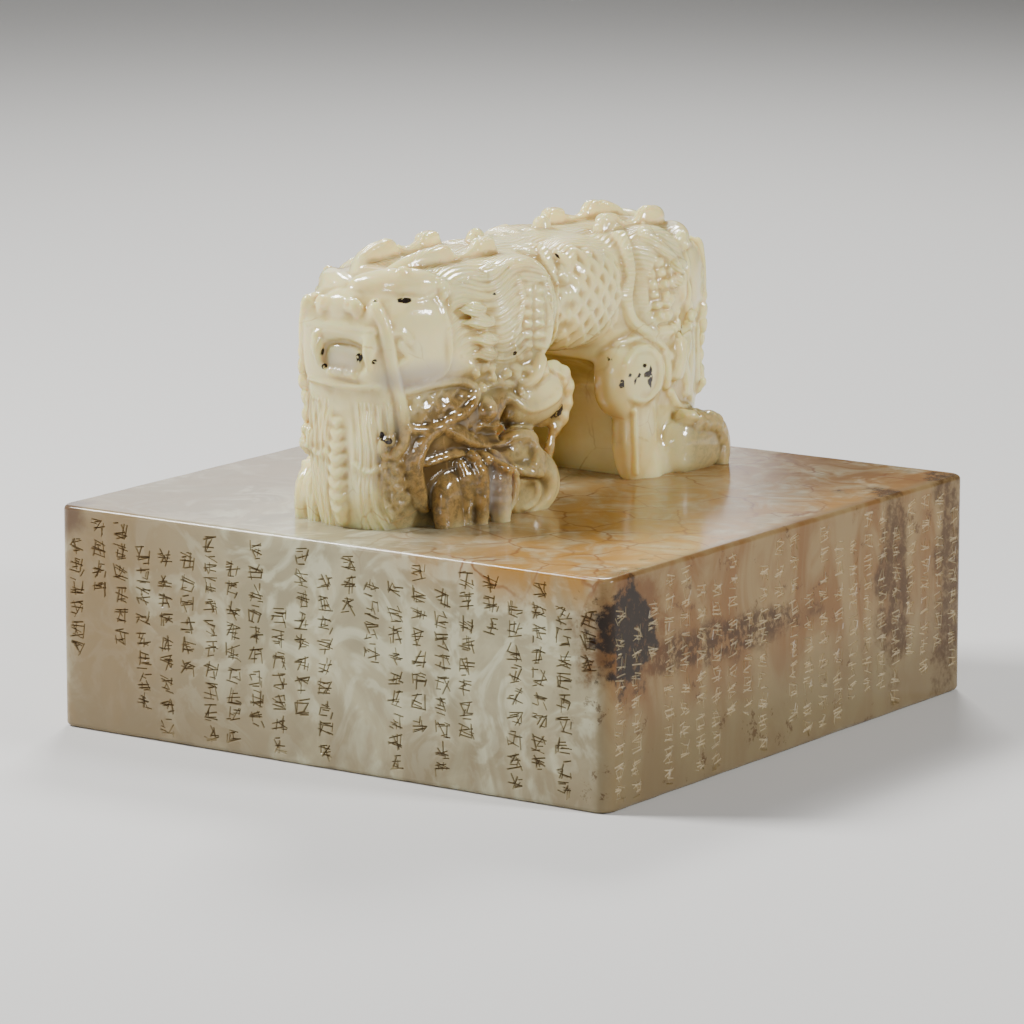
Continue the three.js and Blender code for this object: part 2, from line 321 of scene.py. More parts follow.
def value_noise(points, size, seed=0):
    """Soft random hills about size apart: cell corners' numbers, blended by 3t^2 - 2t^3."""
    p = points / size
    cell = np.floor(p)
    f = p - cell
    f = f * f * (3 - 2 * f)
    total = np.zeros(len(points))
    for corner in np.ndindex(2, 2, 2):
        weight = np.prod(np.where(np.array(corner) == 1, f, 1 - f), axis=1)
        total += weight * hashed(cell + np.array(corner), seed)
    return total


def step(low, high, value):
    """0 below low and 1 above high, with a smooth rise between: 3t^2 - 2t^3."""
    t = np.clip((value - low) / (high - low), 0, 1)
    return t * t * (3 - 2 * t)


def within(points, centre, radii, soft=0.35):
    """1 inside an ellipsoid and 0 outside it, with a rim that is a share soft of it."""
    reach = np.linalg.norm((points - np.array(centre)) / np.array(radii), axis=1)
    return 1 - step(1 - soft, 1 + soft, reach)


def scales(u, v, pitch, tall=1.0):
    """Overlapping round scales in rows set over by half a pitch.

    Each scale is a disc round its own middle that lies over the next row. Its height grows
    with the square of the distance from the middle, up to 1 at the rim, and drops there.
    """
    rows = pitch * 0.5 * tall
    reach = pitch * 0.6
    first = np.floor(v / rows)
    height = np.zeros_like(u)
    found = np.zeros(u.shape, bool)
    for back in (2, 1, 0, -1):
        row = first + back
        over = (row % 2) * 0.5
        middle = (np.floor(u / pitch - over + 0.5) + over) * pitch
        far = np.hypot(u - middle, (v - row * rows) / tall) / reach
        here = (far < 1) & ~found
        height[here] = 0.25 + 0.75 * far[here] ** 2
        found |= here
    return height


def studs(u, v, pitch):
    """Rows of small pyramids: each is 1 in its middle and falls evenly to 0 at its edge."""
    du = np.abs((u / pitch) % 1 - 0.5) * 2
    dv = np.abs((v / pitch) % 1 - 0.5) * 2
    return np.clip(1 - np.maximum(du, dv), 0, 1)


def off_path(path, u, h):
    """How far places (u, h) on a sheet lie from the smooth path through the points.

    The path is taken as short straight pieces. The nearest point of each piece is found, and
    the nearest piece wins.
    """
    line = smooth_path(path, 12 * (len(path) - 1) + 1)[0]
    start, way = line[:-1], np.diff(line, axis=0)
    off_u = u[:, None] - start[:, 0]
    off_h = h[:, None] - start[:, 1]
    t = np.clip((off_u * way[:, 0] + off_h * way[:, 1]) / (way**2).sum(1), 0, 1)
    return np.hypot(off_u - t * way[:, 0], off_h - t * way[:, 1]).min(1)


def upright_turn(angle):
    """The matrix that turns places by an angle about the upright axis."""
    c, s = math.cos(angle), math.sin(angle)
    return np.array([[c, -s, 0], [s, c, 0], [0, 0, 1]])


def knop_frame(points):
    """Places on the finished seal as places in the knop's sketch frame."""
    return (points - KNOP_SHIFT) @ upright_turn(-KNOP_TURN).T


def on_the_block(points):
    """Places in the knop's sketch frame as places on the finished seal."""
    return points @ upright_turn(KNOP_TURN).T + KNOP_SHIFT


# The knop: two dragons back to back


def core():
    """One dragon's trunk from the block up to its crown, by its outlines seen from above."""
    levels = [
        (-1.2, [(-1, -40.6), (3.0, -40.2), (5.4, -38.2), (7.2, -34), (9.2, -29), (11.0, -23),
                (11.2, -15), (8, -10.6), (0, -10.2), (-8.6, -12.5), (-11.2, -19), (-11.2, -26),
                (-9.4, -33), (-7.0, -38.6), (-4.6, -40.6)]),
        (5, [(0, -42.2), (4.6, -41.8), (7.4, -39.8), (9.0, -35.4), (10.6, -29.6), (11.8, -23),
             (11.8, -15), (8.5, -10.8), (0, -10.2), (-9, -12.5), (-11.8, -19), (-11.8, -26.5),
             (-10.2, -34), (-7.6, -40.2), (-4.8, -42.0)]),
        (12, [(0, -42.6), (5.2, -42.4), (8.5, -40.8), (10.7, -36.4), (12.3, -30.4), (12.9, -23),
              (12.8, -15), (9.0, -10.8), (0, -10.2), (-9, -12.5), (-12, -19), (-12.2, -26.5),
              (-10.8, -34.5), (-8.2, -40.6), (-5, -42.4)]),
        (18, [(0, -42.4), (5.2, -42.2), (8.7, -40.8), (11.2, -36.2), (12.8, -30.4), (13.2, -23),
              (12.6, -15), (9, -10.8), (0, -10.2), (-9, -12.5), (-12, -19), (-12.4, -26.5),
              (-11, -34.5), (-8.2, -40.6), (-5, -42.2)]),
        (21.8, [(0, -42.8), (5.4, -42.5), (8.0, -41.2), (10.3, -36.6), (11.8, -30.6),
                (12.2, -23), (12.0, -14), (8.6, -9.5), (0, -9.0), (-8.6, -12), (-11.6, -19),
                (-11.8, -26.5), (-10.2, -34.5), (-7.8, -41.0), (-5.2, -42.5)]),
        (24.6, [(0, -43.3), (5.6, -43.1), (8.4, -41.6), (11.2, -36.6), (12.7, -31.0),
                (12.9, -22), (12.8, -9.6), (10.2, -4.4), (0, -4), (-8.6, -8), (-12.4, -18),
                (-12.7, -26.5), (-11.2, -34.5), (-8.3, -41.5), (-5.6, -43.1)]),
        (30, [(0, -43.8), (5.8, -43.5), (8.5, -41.8), (11.0, -36.8), (12.4, -30.8), (13.0, -22),
              (13.0, -8.4), (10.8, -2.8), (0, -2.5), (-9, -7), (-12.6, -17.6), (-12.9, -26),
              (-11.2, -34.5), (-8.4, -41.7), (-5.8, -43.5)]),
        (34.2, [(0, -43.5), (5.6, -43.1), (8.0, -41.4), (10.4, -36.6), (11.8, -30.8),
                (12.8, -22), (12.8, -8.4), (10.4, -2.9), (0, -2.5), (-8.8, -7.2), (-12.2, -17.6),
                (-12.4, -26), (-10.8, -34), (-8.0, -41.3), (-5.6, -43.1)]),
        (37.4, [(0, -40.6), (4.2, -40.2), (7.0, -38.4), (9.2, -34.8), (10.8, -29.8),
                (11.6, -21.5), (11.4, -9.6), (8.6, -3.8), (0, -3.2), (-7.6, -8), (-10.8, -17.8),
                (-11.0, -25.6), (-9.4, -33), (-6.8, -38.2), (-4.2, -40)]),
        (39.8, [(0, -35), (2.8, -34.8), (4.8, -33.8), (6.8, -31.2), (8.2, -27.4), (8.8, -20.5),
                (8.4, -12), (5.4, -6.6), (0, -5.6), (-5, -9.4), (-7.8, -17.6), (-8.0, -24.6),
                (-6.8, -30), (-4.8, -33.4), (-2.8, -34.8)]),
    ]
    return plan_loft(levels)


def plan_loft(levels, per_level=6, per_place=6):
    """A solid from levels of (h, places in x and y), each a closed smooth outline.

    Matching places run up through the levels on a smooth path, and at each height a smooth
    path through them, carried round past its start, gives the ring.
    """
    count = len(levels[0][1])
    stacked = np.array([[h, *np.ravel(line)] for h, line in levels], float)
    rows = smooth_path(stacked, per_level * (len(levels) - 1) + 1)[0]
    around = rows[:, 1:].reshape(len(rows), count, 2).transpose(1, 0, 2).reshape(count, -1)
    carried = np.concatenate([around[-2:], around, around[:3]])
    path = smooth_path(carried, per_place * (len(carried) - 1) + 1)[0]
    path = path[2 * per_place : (2 + count) * per_place]
    flat = path.reshape(len(path), len(rows), 2).transpose(1, 0, 2)
    height = np.broadcast_to(rows[:, None, :1], (*flat.shape[:2], 1))
    rings = np.concatenate([flat, height], -1)
    return skin(rings, rings[0].mean(0), rings[-1].mean(0))


def shared_body():
    """The arched body that the dragons share, with a round flank on each side."""
    back = limb(
        [(0, -24, 31), (0, -8, 31.6), (0, 8, 31.6), (0, 24, 31)],
        [9.0, 9.4, 9.4, 9.0],
        flat=1.1,
        sides=48,
    )
    flank = lump([4.6, 7.2, 31.2], [8.4, 14.0, 9.2], 0.9, sides=48, rows=25)
    return [back, flank, half_round(flank)]


def cord_way(width=40.0, height=21.5, reach=40.0):
    """The way under the body: upright walls below a round arch, carried along x."""
    half = width / 2
    spring = height * 0.62
    a = np.linspace(0, np.pi, 33)
    y = np.concatenate([[half], half * np.cos(a), [-half]])
    h = np.concatenate([[-4.0], spring + (height - spring) * np.sin(a), [-4.0]])
    outline = np.stack([0 * y, y, h], -1)
    ends = np.array([-reach, reach])[:, None, None] * np.array([1.0, 0, 0])
    rings = outline[None] + ends
    return skin(rings, rings[0].mean(0), rings[1].mean(0))


def head_masses():
    """The smooth masses of the head: nose dome, brows and cheeks."""
    parts = [lump([-0.2, -41.6, 34.9], [3.9, 2.5, 2.4], 0.9)]
    parts += pair(lambda s: lump([s * 7.6, -36.4, 29.6], [3.4, 6.8, 6.6], 0.7, turn=-25 * s))
    parts += pair(lambda s: lump([s * 6.2, -42.2, 34.2], [1.3, 1.4, 1.6]))
    for s, h, thick in ((1, 37.9, 2.5), (-1, 37.0, 2.2)):
        parts.append(
            limb(
                [(s * 1.4, -39.6, h - 0.3), (s * 4.8, -38.0, h + 0.1), (s * 8.2, -34.6, h),
                 (s * 10.0, -31.0, h - 0.8)],
                [thick * 0.8, thick, thick, thick * 0.66],
            )
        )
    return parts


def body_masses(tuck):
    """The smooth masses below the head: manes, elbow, wrist, claw, leg, knee and foot."""
    return [
        lump([9.0, -13.6, 30.6], [5.0, 10.4, 9.4], 0.75, sides=48, rows=25),
        lump([-8.0, -25.0, 30.6], [5.6, 9.0, 9.6], 0.85, sides=48, rows=25),
        lump([12.0, -10.6, 21.6], [2.6, 3.9, 3.2]),
        lump([-11.0, -23.8, 22.4], [2.6, 4.6, 2.9]),
        lump([10.8, -9.8, 17.0], [4.2, 7.4, 4.2], 0.85, lean=8),
        lump([10.2, -3.6, 16.6], [2.0, 5.0, 5.0], 0.8),
        lump([12.6, -15.0, 10.4], [2.4, 4.6, 3.2], 0.9),
        lump([13.2, -21.0, 6.0], [2.0, 8.0, 5.0], 0.7),
        limb([(13.4, -16.8, 8.2), (14.0, -11.8, 7.2), (13.6, -9.0, 3.4), (13.2, -11.4, 0.0)],
             [2.0, 2.6, 2.6, 2.0]),
        lump([12.8, -13.6, 3.6], [2.4, 4.8, 4.4], 0.85),
        lump([11.4, -27.6, 3.0], [1.8, 6.6, 5.6], 0.7),
        lump([-10.0, -18.6, 16.6], [3.7, 7.2, 6.8], 0.8),
        lump([-10.6, -19.6, 8.0], [2.8, 4.4, 9.0], 0.8),
        lump([-11.2, -27.4, 18.2], [2.8, 3.4, 5.2], lean=16),
        limb([(-10.2, -20.6, 12), (-10.4, -21.4, 6), (-10.6, -22.2, -0.6)], [3.2, 2.7, 3.2]),
        lump([tuck - 11.6, -32.4, 4.0], [4.6, 7.6, 5.2], 0.75),
        lump([tuck - 10.4, -26.0, 2.6], [3.0, 4.6, 4.0], 0.8),
    ]


def head_details():
    """The fine forms of the head: tongue, nostrils, fangs, teeth and ears."""
    parts = [lump([0.5, -42.1, 26.4], [3.6, 1.3, 2.5], 0.55)]
    parts += pair(lambda s: lump([s * 3.4, -43.3, 34.3], [1.0, 0.7, 0.9]))
    parts += pair(lambda s: lump([s * 6.0, -42.6, 34.6], [1.1, 0.9, 1.1]))
    parts += pair(nostril_curl)
    parts += pair(ear)
    parts += pair(fang)
    places = np.linspace(-1.8, 2.6, 5)
    parts += [lump([x, -43.5, 24.6], [0.5, 0.5, 0.6], sides=14, rows=9) for x in places]
    parts.append(lump([7.4, -37.0, 40.2], [0.9, 1.2, 0.8]))
    return parts


def nostril_curl(s):
    """A flat spiral cord on the nose: its reach falls evenly as its turn grows."""
    turn = np.linspace(-0.6, 2.2 * np.pi, 11)
    reach = 1.5 - 0.18 * turn
    path = np.stack(
        [
            s * (2.7 + reach * np.cos(turn)),
            -43.9 + 0.2 * reach**2,
            35.2 + 0.8 * reach * np.sin(turn),
        ],
        -1,
    )
    return limb(path, [0.42] * 11, side=(0, 1, 0), sides=8, per_span=5)


def ear(s):
    """A small curled ear: a leaf with a round lobe at its lower end."""
    return joined(
        [
            lump([s * 11.0, -31.6, 37.4], [0.8, 1.9, 1.2], lean=-38),
            lump([s * 11.6, -32.2, 36.4], [0.8, 0.8, 0.8]),
        ]
    )


def fang(s):
    """A fang beside the tongue, from the upper lip down."""
    middle = 0.9
    return limb(
        [(middle + s * 4.9, -43.0, 30.4), (middle + s * 5.0, -43.7, 28.2),
         (middle + s * 4.8, -43.5, 25.8)],
        [1.2, 1.0, 0.35],
        sides=12,
    )


def horns(set_back):
    """Two flat horns laid back over the head: a round swelling, a waist and a broad end."""
    parts = []
    for s in (1, -1):
        across = s * 5.4
        parts += [
            limb(
                [(s * 2.6, -36.0, 38.4), (s * 4.4, -32 + set_back / 2, 40.0),
                 (across, -26 + set_back, 40.6), (across, -20.8 + set_back, 39.6),
                 (across, -16 + set_back, 40.2), (across, -12.6 + set_back, 40.2)],
                [1.2, 1.6, 1.9, 1.1, 1.4, 1.6],
                flat=0.8,
            ),
            lump([across, -25.0 + set_back, 41.0], [1.3, 2.7, 1.7]),
            lump([across, -14.2 + set_back, 40.9], [1.3, 2.4, 1.7], 0.6, lean=3),
        ]
    parts.append(lump([0, -8.8, 41.0], [1.5, 1.7, 2.0], lean=-12))
    return parts


def mane_details():
    """The wedge tufts behind the cheeks and the small curls where mane and shoulder meet."""
    parts = []
    for s, middle in ((1, -21.5), (-1, -27.0)):
        parts += tufts(s)
        parts += curls(s, middle)
    return parts


def tufts(s):
    """Pointed wedges of hair behind the cheek, with their tips towards the face."""
    parts = []
    for y, h, length in ((-30.6, 33.9, 6.4), (-29.2, 31.6, 7.2), (-27.2, 28.7, 6.0),
                         (-26.4, 26.4, 5.0)):
        parts.append(
            limb(
                [(s * 13.1, y, h), (s * 13.8, y + length * 0.45, h - 0.1),
                 (s * 13.2, y + length, h - 0.7)],
                [0.15, 1.2, 0.7],
                flat=0.75,
                sides=10,
            )
        )
    return parts


def curls(s, middle):
    """A cluster of small hooked curls where the mane meets the shoulder."""
    parts = []
    for i in range(10):
        turn = 2.4 * i
        y = middle + 1.2 * math.sqrt(i) * math.cos(turn) * 1.7
        h = 23.4 + 1.1 * math.sqrt(i) * math.sin(turn)
        away = 0.9 * math.cos(1.3 * i), 0.9 * math.sin(1.3 * i)
        parts.append(
            limb(
                [(s * 12.0, y - away[0], h - away[1]), (s * 12.9, y, h + 0.3),
                 (s * 12.2, y + away[0], h + away[1] * 0.4)],
                [0.45, 0.62, 0.4],
                sides=8,
                per_span=5,
            )
        )
    return parts


def beard():
    """The chin's hair: two broad locks down the breast with the banded throat between."""
    parts = [lump([-1.2, -41.6, 9.8], [1.9, 1.6, 9.4], 0.9)]
    parts += pair(lambda s: lump([0.6 + s * 3.9, -41.0, 15.6], [2.3, 1.7, 4.4], 0.75))
    parts.append(lump([4.6, -40.8, 8.6], [2.1, 1.5, 4.6], 0.85, lean=4))
    parts.append(lump([-5.2, -40.4, 9.2], [2.0, 1.5, 5.6], 0.85, lean=4))
    return parts


def raised_paw():
    """The raised forepaw's fine forms: ball, fin, toes and the hooked claw."""
    parts = [
        lump([12.9, -23.4, 17.3], [1.9, 2.1, 2.1]),
        limb(
            [(11.4, -8.2, 22.2), (11.8, -3.2, 20.9), (11.6, -0.6, 18.6), (11.4, -0.4, 15.4),
             (11.4, -1.6, 12.6), (11.6, -4.2, 10.4), (12.0, -5.8, 6.0), (12.0, -6.4, 0.4)],
            [0.8, 1.3, 1.6, 1.6, 1.4, 1.0, 0.9, 0.9],
            flat=0.6,
            ripple=(9, 0.13),
        ),
    ]
    toes = [
        [(12.2, -29.0, 9.6), (12.9, -28.7, 7.4), (12.9, -28.4, 3.6), (12.5, -28.0, -0.6)],
        [(13.0, -27.2, 10.2), (14.2, -26.6, 7.8), (14.3, -26.4, 4.0), (13.9, -26.0, -0.6)],
        [(14.0, -22.6, 9.6), (15.3, -22.8, 7.6), (15.4, -22.8, 4.0), (15.1, -22.4, -0.6)],
    ]
    for path, thick in zip(toes, (1.1, 1.35, 1.75)):
        parts.append(limb(path, [0.8 * thick, thick, thick, 0.9 * thick], ripple=(7, 0.06)))
    parts += [
        limb([(14.4, -18.6, 7.0), (15.2, -14.2, 7.2), (15.2, -10.6, 5.4), (14.6, -10.2, 2.4),
              (13.8, -12.8, 0.2)], [1.0, 1.4, 1.7, 1.6, 1.2]),
        limb([(15.4, -20.8, 8.4), (15.9, -19.4, 6.2), (15.7, -19.6, 3.0), (15.2, -21.0, 0.8)],
             [0.5, 0.6, 0.55, 0.4], sides=10),
    ]
    return parts


def standing_paw(tuck):
    """The standing forepaw's clawed toes and knuckles, and hair ends up the head's side."""
    parts = [
        lump([tuck - 13.8, -29.4 - 3.2 * i, 8.6 - 0.5 * i], [2.0, 1.9, 1.5]) for i in range(3)
    ]
    parts += [lump([-8.5, -40.7, h], [0.8, 0.9, 1.4]) for h in np.arange(12.0, 32.0, 2.5)]
    for i in range(3):
        x = tuck - 8.7 - 3.0 * i
        tip = -40.2 + 0.5 * abs(i - 1)
        parts += [
            limb([(x, tip + 9.0, 7.4), (x, tip + 4.4, 7.2), (x, tip + 2.4, 5.0)],
                 [1.4, 1.9, 1.8], ripple=(5, 0.07)),
            limb([(x, tip + 2.4, 5.6), (x, tip + 1.5, 3.2), (x, tip + 1.4, -0.6)],
                 [1.7, 1.6, 1.3]),
        ]
    return parts


def spine(first, last, count):
    """Low rounded plates along the ridge of the back, from first to last in y."""
    places = np.linspace(first, last, count)
    return [lump([0, y, 40.2], [1.3, 1.6, 1.2], lean=-18, sides=18, rows=11) for y in places]


def mouth_cut():
    """The open mouth: a shallow arched hollow between the jaws."""
    return lump([0.9, -44.8, 27.0], [5.9, 2.7, 3.5], 0.95, sides=32, rows=17)


def claw_gap():
    """The small dark gap between the last toe and the hooked claw."""
    return lump([15.4, -18.4, 3.0], [2.6, 1.0, 2.0], 0.9, sides=20, rows=11)


def evened(made, grain, passes):
    """Draws one even mesh over all that the object holds, then softens it by averaging."""
    even = made.modifiers.new("even", "REMESH")
    even.mode = "VOXEL"
    even.voxel_size = grain
    soften = made.modifiers.new("soften", "SMOOTH")
    soften.factor = 0.5
    soften.iterations = passes
    apply_modifiers(made)


def taken_apart(made):
    """The object's mesh as (points, triangles). The object itself is removed."""
    mesh = made.data
    part = corners(mesh), triangles_of(mesh)
    bpy.data.objects.remove(made)
    bpy.data.meshes.remove(mesh)
    return part


def knop_blank(front, back, coarse):
    """The knop before its relief, as one object.

    The trunks and the shared body are joined and the cord way cut from them. The smooth
    masses are blended in, the mouths and claw gaps cut, and the fine forms laid over.
    """
    made = new_object("core", core())
    for part in [half_round(core()), *shared_body()]:
        combine(made, part, "UNION")
    combine(made, cord_way(), "DIFFERENCE")
    masses = [taken_apart(made)]
    masses += head_masses() + body_masses(front["foot_tuck"])
    masses += [half_round(part) for part in head_masses() + body_masses(back["foot_tuck"])]
    made = new_object("masses", joined(masses))
    evened(made, coarse, 6)
    for turn in (lambda part: part, half_round):
        combine(made, turn(mouth_cut()), "DIFFERENCE")
        combine(made, turn(claw_gap()), "DIFFERENCE")
    parts = [taken_apart(made)]
    parts += dragon_details(**front)
    parts += [half_round(part) for part in dragon_details(**back)]
    parts += spine(-5.5, 5.5, 4)
    points, triangles = joined(parts)
    return new_object("dragon_knop", (on_the_block(points), triangles))


def dragon_details(horn_set_back, foot_tuck):
    """One dragon's fine forms."""
    return (
        head_details()
        + horns(horn_set_back)
        + mane_details()
        + beard()
        + raised_paw()
        + standing_paw(foot_tuck)
    )


def triangles_of(mesh):
    """The mesh's triangles as an array (count, 3) of corner numbers."""
    mesh.calc_loop_triangles()
    triangles = np.empty(len(mesh.loop_triangles) * 3, np.int32)
    mesh.loop_triangles.foreach_get("vertices", triangles)
    return triangles.reshape(-1, 3)


def dragon_view(points, normals):
    """Places and normals in the sketch frame, with the back dragon turned to the front."""
    place = knop_frame(points)
    way = normals @ upright_turn(-KNOP_TURN).T
    flip = np.where(place[:, 1:2] < 0, 1.0, -1.0) * np.array([1, 1, 0]) + np.array([0, 0, 1])
    return place * flip, way * flip


# The relief is drawn on three upright sheets: one faces the front and the raised paw's side
# at a slant, one is its mirror image for the other side of the head, and one faces the
# standing paw's side from behind. SLANT is the first sheet's run across, in x and y.
SLANT = np.array([0.822, 0.569])


def front_sheet(place, way, s):
    """Places across the slanted sheet on side s, and how squarely the skin faces it."""
    u = s * SLANT[0] * place[:, 0] + SLANT[1] * place[:, 1]
    facing = s * SLANT[1] * way[:, 0] - SLANT[0] * way[:, 1]
    return u, step(0.15, 0.4, facing) * step(2.0, 4.5, s * place[:, 0])


def rear_sheet(place, way):
    """Places across the sheet that faces the standing paw's side from behind."""
    u = -SLANT[0] * place[:, 0] - SLANT[1] * place[:, 1]
    facing = -SLANT[1] * way[:, 0] + SLANT[0] * way[:, 1]
    return u, step(0.1, 0.35, facing) * step(2.0, 4.5, -place[:, 0])


# Raised lines on the sheets: the path, half its width, and its height
HEAD_LINES = [
    ([(-19.0, 35.4), (-17.9, 33.2), (-17.2, 30.6), (-16.6, 27.0), (-15.8, 23.0), (-15.0, 19.6),
      (-14.6, 16.6), (-15.0, 14.0), (-16.3, 12.4), (-17.8, 12.6), (-18.0, 14.0), (-17.0, 14.6)],
     0.85, 0.65),
    ([(-16.4, 31.4), (-15.0, 31.3), (-13.8, 29.9)], 0.5, 0.3),
    ([(-15.2, 29.5), (-13.9, 27.5), (-15.3, 26.5)], 0.5, 0.26),
    ([(-9.9, 36.0), (-9.1, 34.1), (-8.2, 31.2), (-7.9, 27.4), (-8.4, 24.8), (-10.4, 23.4),
      (-14.6, 22.5)], 0.32, 0.34),
    ([(-14.6, 36.2), (-12.4, 36.0), (-10.4, 36.8)], 0.3, 0.3),
]
PAW_LINES = [
    ([(-14.2, 22.0), (-9.0, 22.7), (-5.8, 22.2), (-4.0, 20.4), (-5.0, 18.2), (-8.4, 16.7),
      (-12.0, 15.9), (-14.0, 16.4)], 0.6, 0.55),
    ([(-9.4, 16.0), (-11.5, 14.4), (-12.9, 10.6), (-12.6, 6.6), (-11.8, 3.2)], 1.0, 0.8),
    ([(-11.0, 15.7), (-12.8, 13.9), (-14.0, 10.5), (-13.7, 6.6), (-13.0, 3.4)], 0.25, 0.5),
    ([(-8.0, 15.4), (-4.8, 12.8), (-1.4, 11.4), (1.8, 12.5), (4.3, 11.8), (5.3, 9.4),
      (4.8, 7.8)], 0.75, 0.75),
    ([(-7.6, 16.3), (-4.6, 13.9), (-1.4, 12.5), (1.9, 13.6), (5.0, 12.6), (6.1, 9.6),
      (5.8, 7.4)], 0.22, 0.45),
    ([(-11.4, 10.6), (-7.6, 11.3), (-4.4, 10.8), (-1.4, 9.6), (2.2, 7.4), (5.6, 6.4)],
     0.6, 0.8),
    ([(-5.0, 20.0), (-1.8, 21.0), (1.2, 20.4), (3.0, 18.6)], 0.4, 0.45),
    ([(-3.4, 15.2), (-1.0, 14.6), (0.8, 15.4)], 0.45, 0.5),
    ([(2.8, 5.4), (4.6, 5.2), (5.4, 3.6), (4.8, 1.6), (3.2, 0.8)], 0.4, 0.45),
    ([(1.0, 18.4), (4.0, 16.2), (7.4, 16.8), (9.0, 18.6)], 0.6, 0.5),
    ([(-1.0, 21.4), (2.6, 22.6), (6.4, 21.6), (9.0, 19.6)], 0.45, 0.4),
]
MANE_LINES = [
    ([(1.4, 39.4), (4.4, 39.2), (6.2, 37.6), (7.0, 34.2), (7.2, 30.4), (6.8, 26.6), (5.6, 23.8),
      (4.8, 21.4), (3.4, 20.2), (2.0, 21.0), (1.8, 22.6)], 0.95, 0.8),
    ([(2.2, 37.0), (3.0, 34.0), (2.6, 30.4), (1.6, 27.0), (2.6, 24.2)], 0.3, 0.3),
]
REAR_LINES = [
    ([(16.4, 40.4), (18.2, 38.0), (19.0, 34.0), (18.6, 29.6), (19.6, 26.0), (22.2, 23.8),
      (25.2, 23.6), (27.4, 22.6), (27.8, 19.4), (26.6, 16.0)], 0.9, 0.8),
    ([(21.0, 39.6), (24.6, 36.4), (27.0, 33.0), (27.8, 28.8), (28.8, 24.0), (28.9, 17.0),
      (28.2, 12.0)], 0.7, 0.7),
    ([(26.8, 22.8), (27.6, 17.6), (28.4, 12.6), (29.4, 9.6)], 0.55, 0.7),
    ([(17.0, 22.6), (20.4, 23.2), (23.4, 22.2), (25.6, 19.2)], 0.4, 0.5),
    ([(25.6, 13.2), (27.0, 10.2), (29.8, 9.0), (31.2, 8.0)], 0.5, 0.6),
    ([(19.9, 11.6), (20.0, 6.4), (20.2, 1.2)], 0.45, 0.6),
    ([(18.4, 19.4), (20.2, 21.4), (22.6, 21.0), (23.9, 18.0), (23.4, 14.8), (21.4, 13.0),
      (19.4, 13.8)], 0.45, 0.45),
    ([(24.4, 20.0), (25.2, 17.4), (24.9, 14.4)], 0.6, 0.6),
]


def lines_on(u, h, lines):
    """How far the lines raise the places on a sheet: each has a flat top and soft sides."""
    raised = np.zeros(len(u))
    for path, wide, tall in lines:
        ends = np.array(path)
        low, high = ends.min(0) - 2 * wide, ends.max(0) + 2 * wide
        near = (u > low[0]) & (u < high[0]) & (h > low[1]) & (h < high[1])
        if near.any():
            share = 1 - step(0.5, 1.1, off_path(path, u[near], h[near]) / wide)
            raised[near] = np.maximum(raised[near], tall * share)
    return raised


def oval(u, h, middle, radii, soft=0.12):
    """1 inside an ellipse on a sheet and 0 outside it, with a soft rim."""
    reach = np.hypot((u - middle[0]) / radii[0], (h - middle[1]) / radii[1])
    return 1 - step(1 - soft, 1 + soft, reach)


def mane_wave(u, h):
    """Grows evenly across the strands of the mane, which run in waves along the sheet."""
    return h - 0.1 * u - 0.9 * np.sin(u / 1.5 + h / 6)


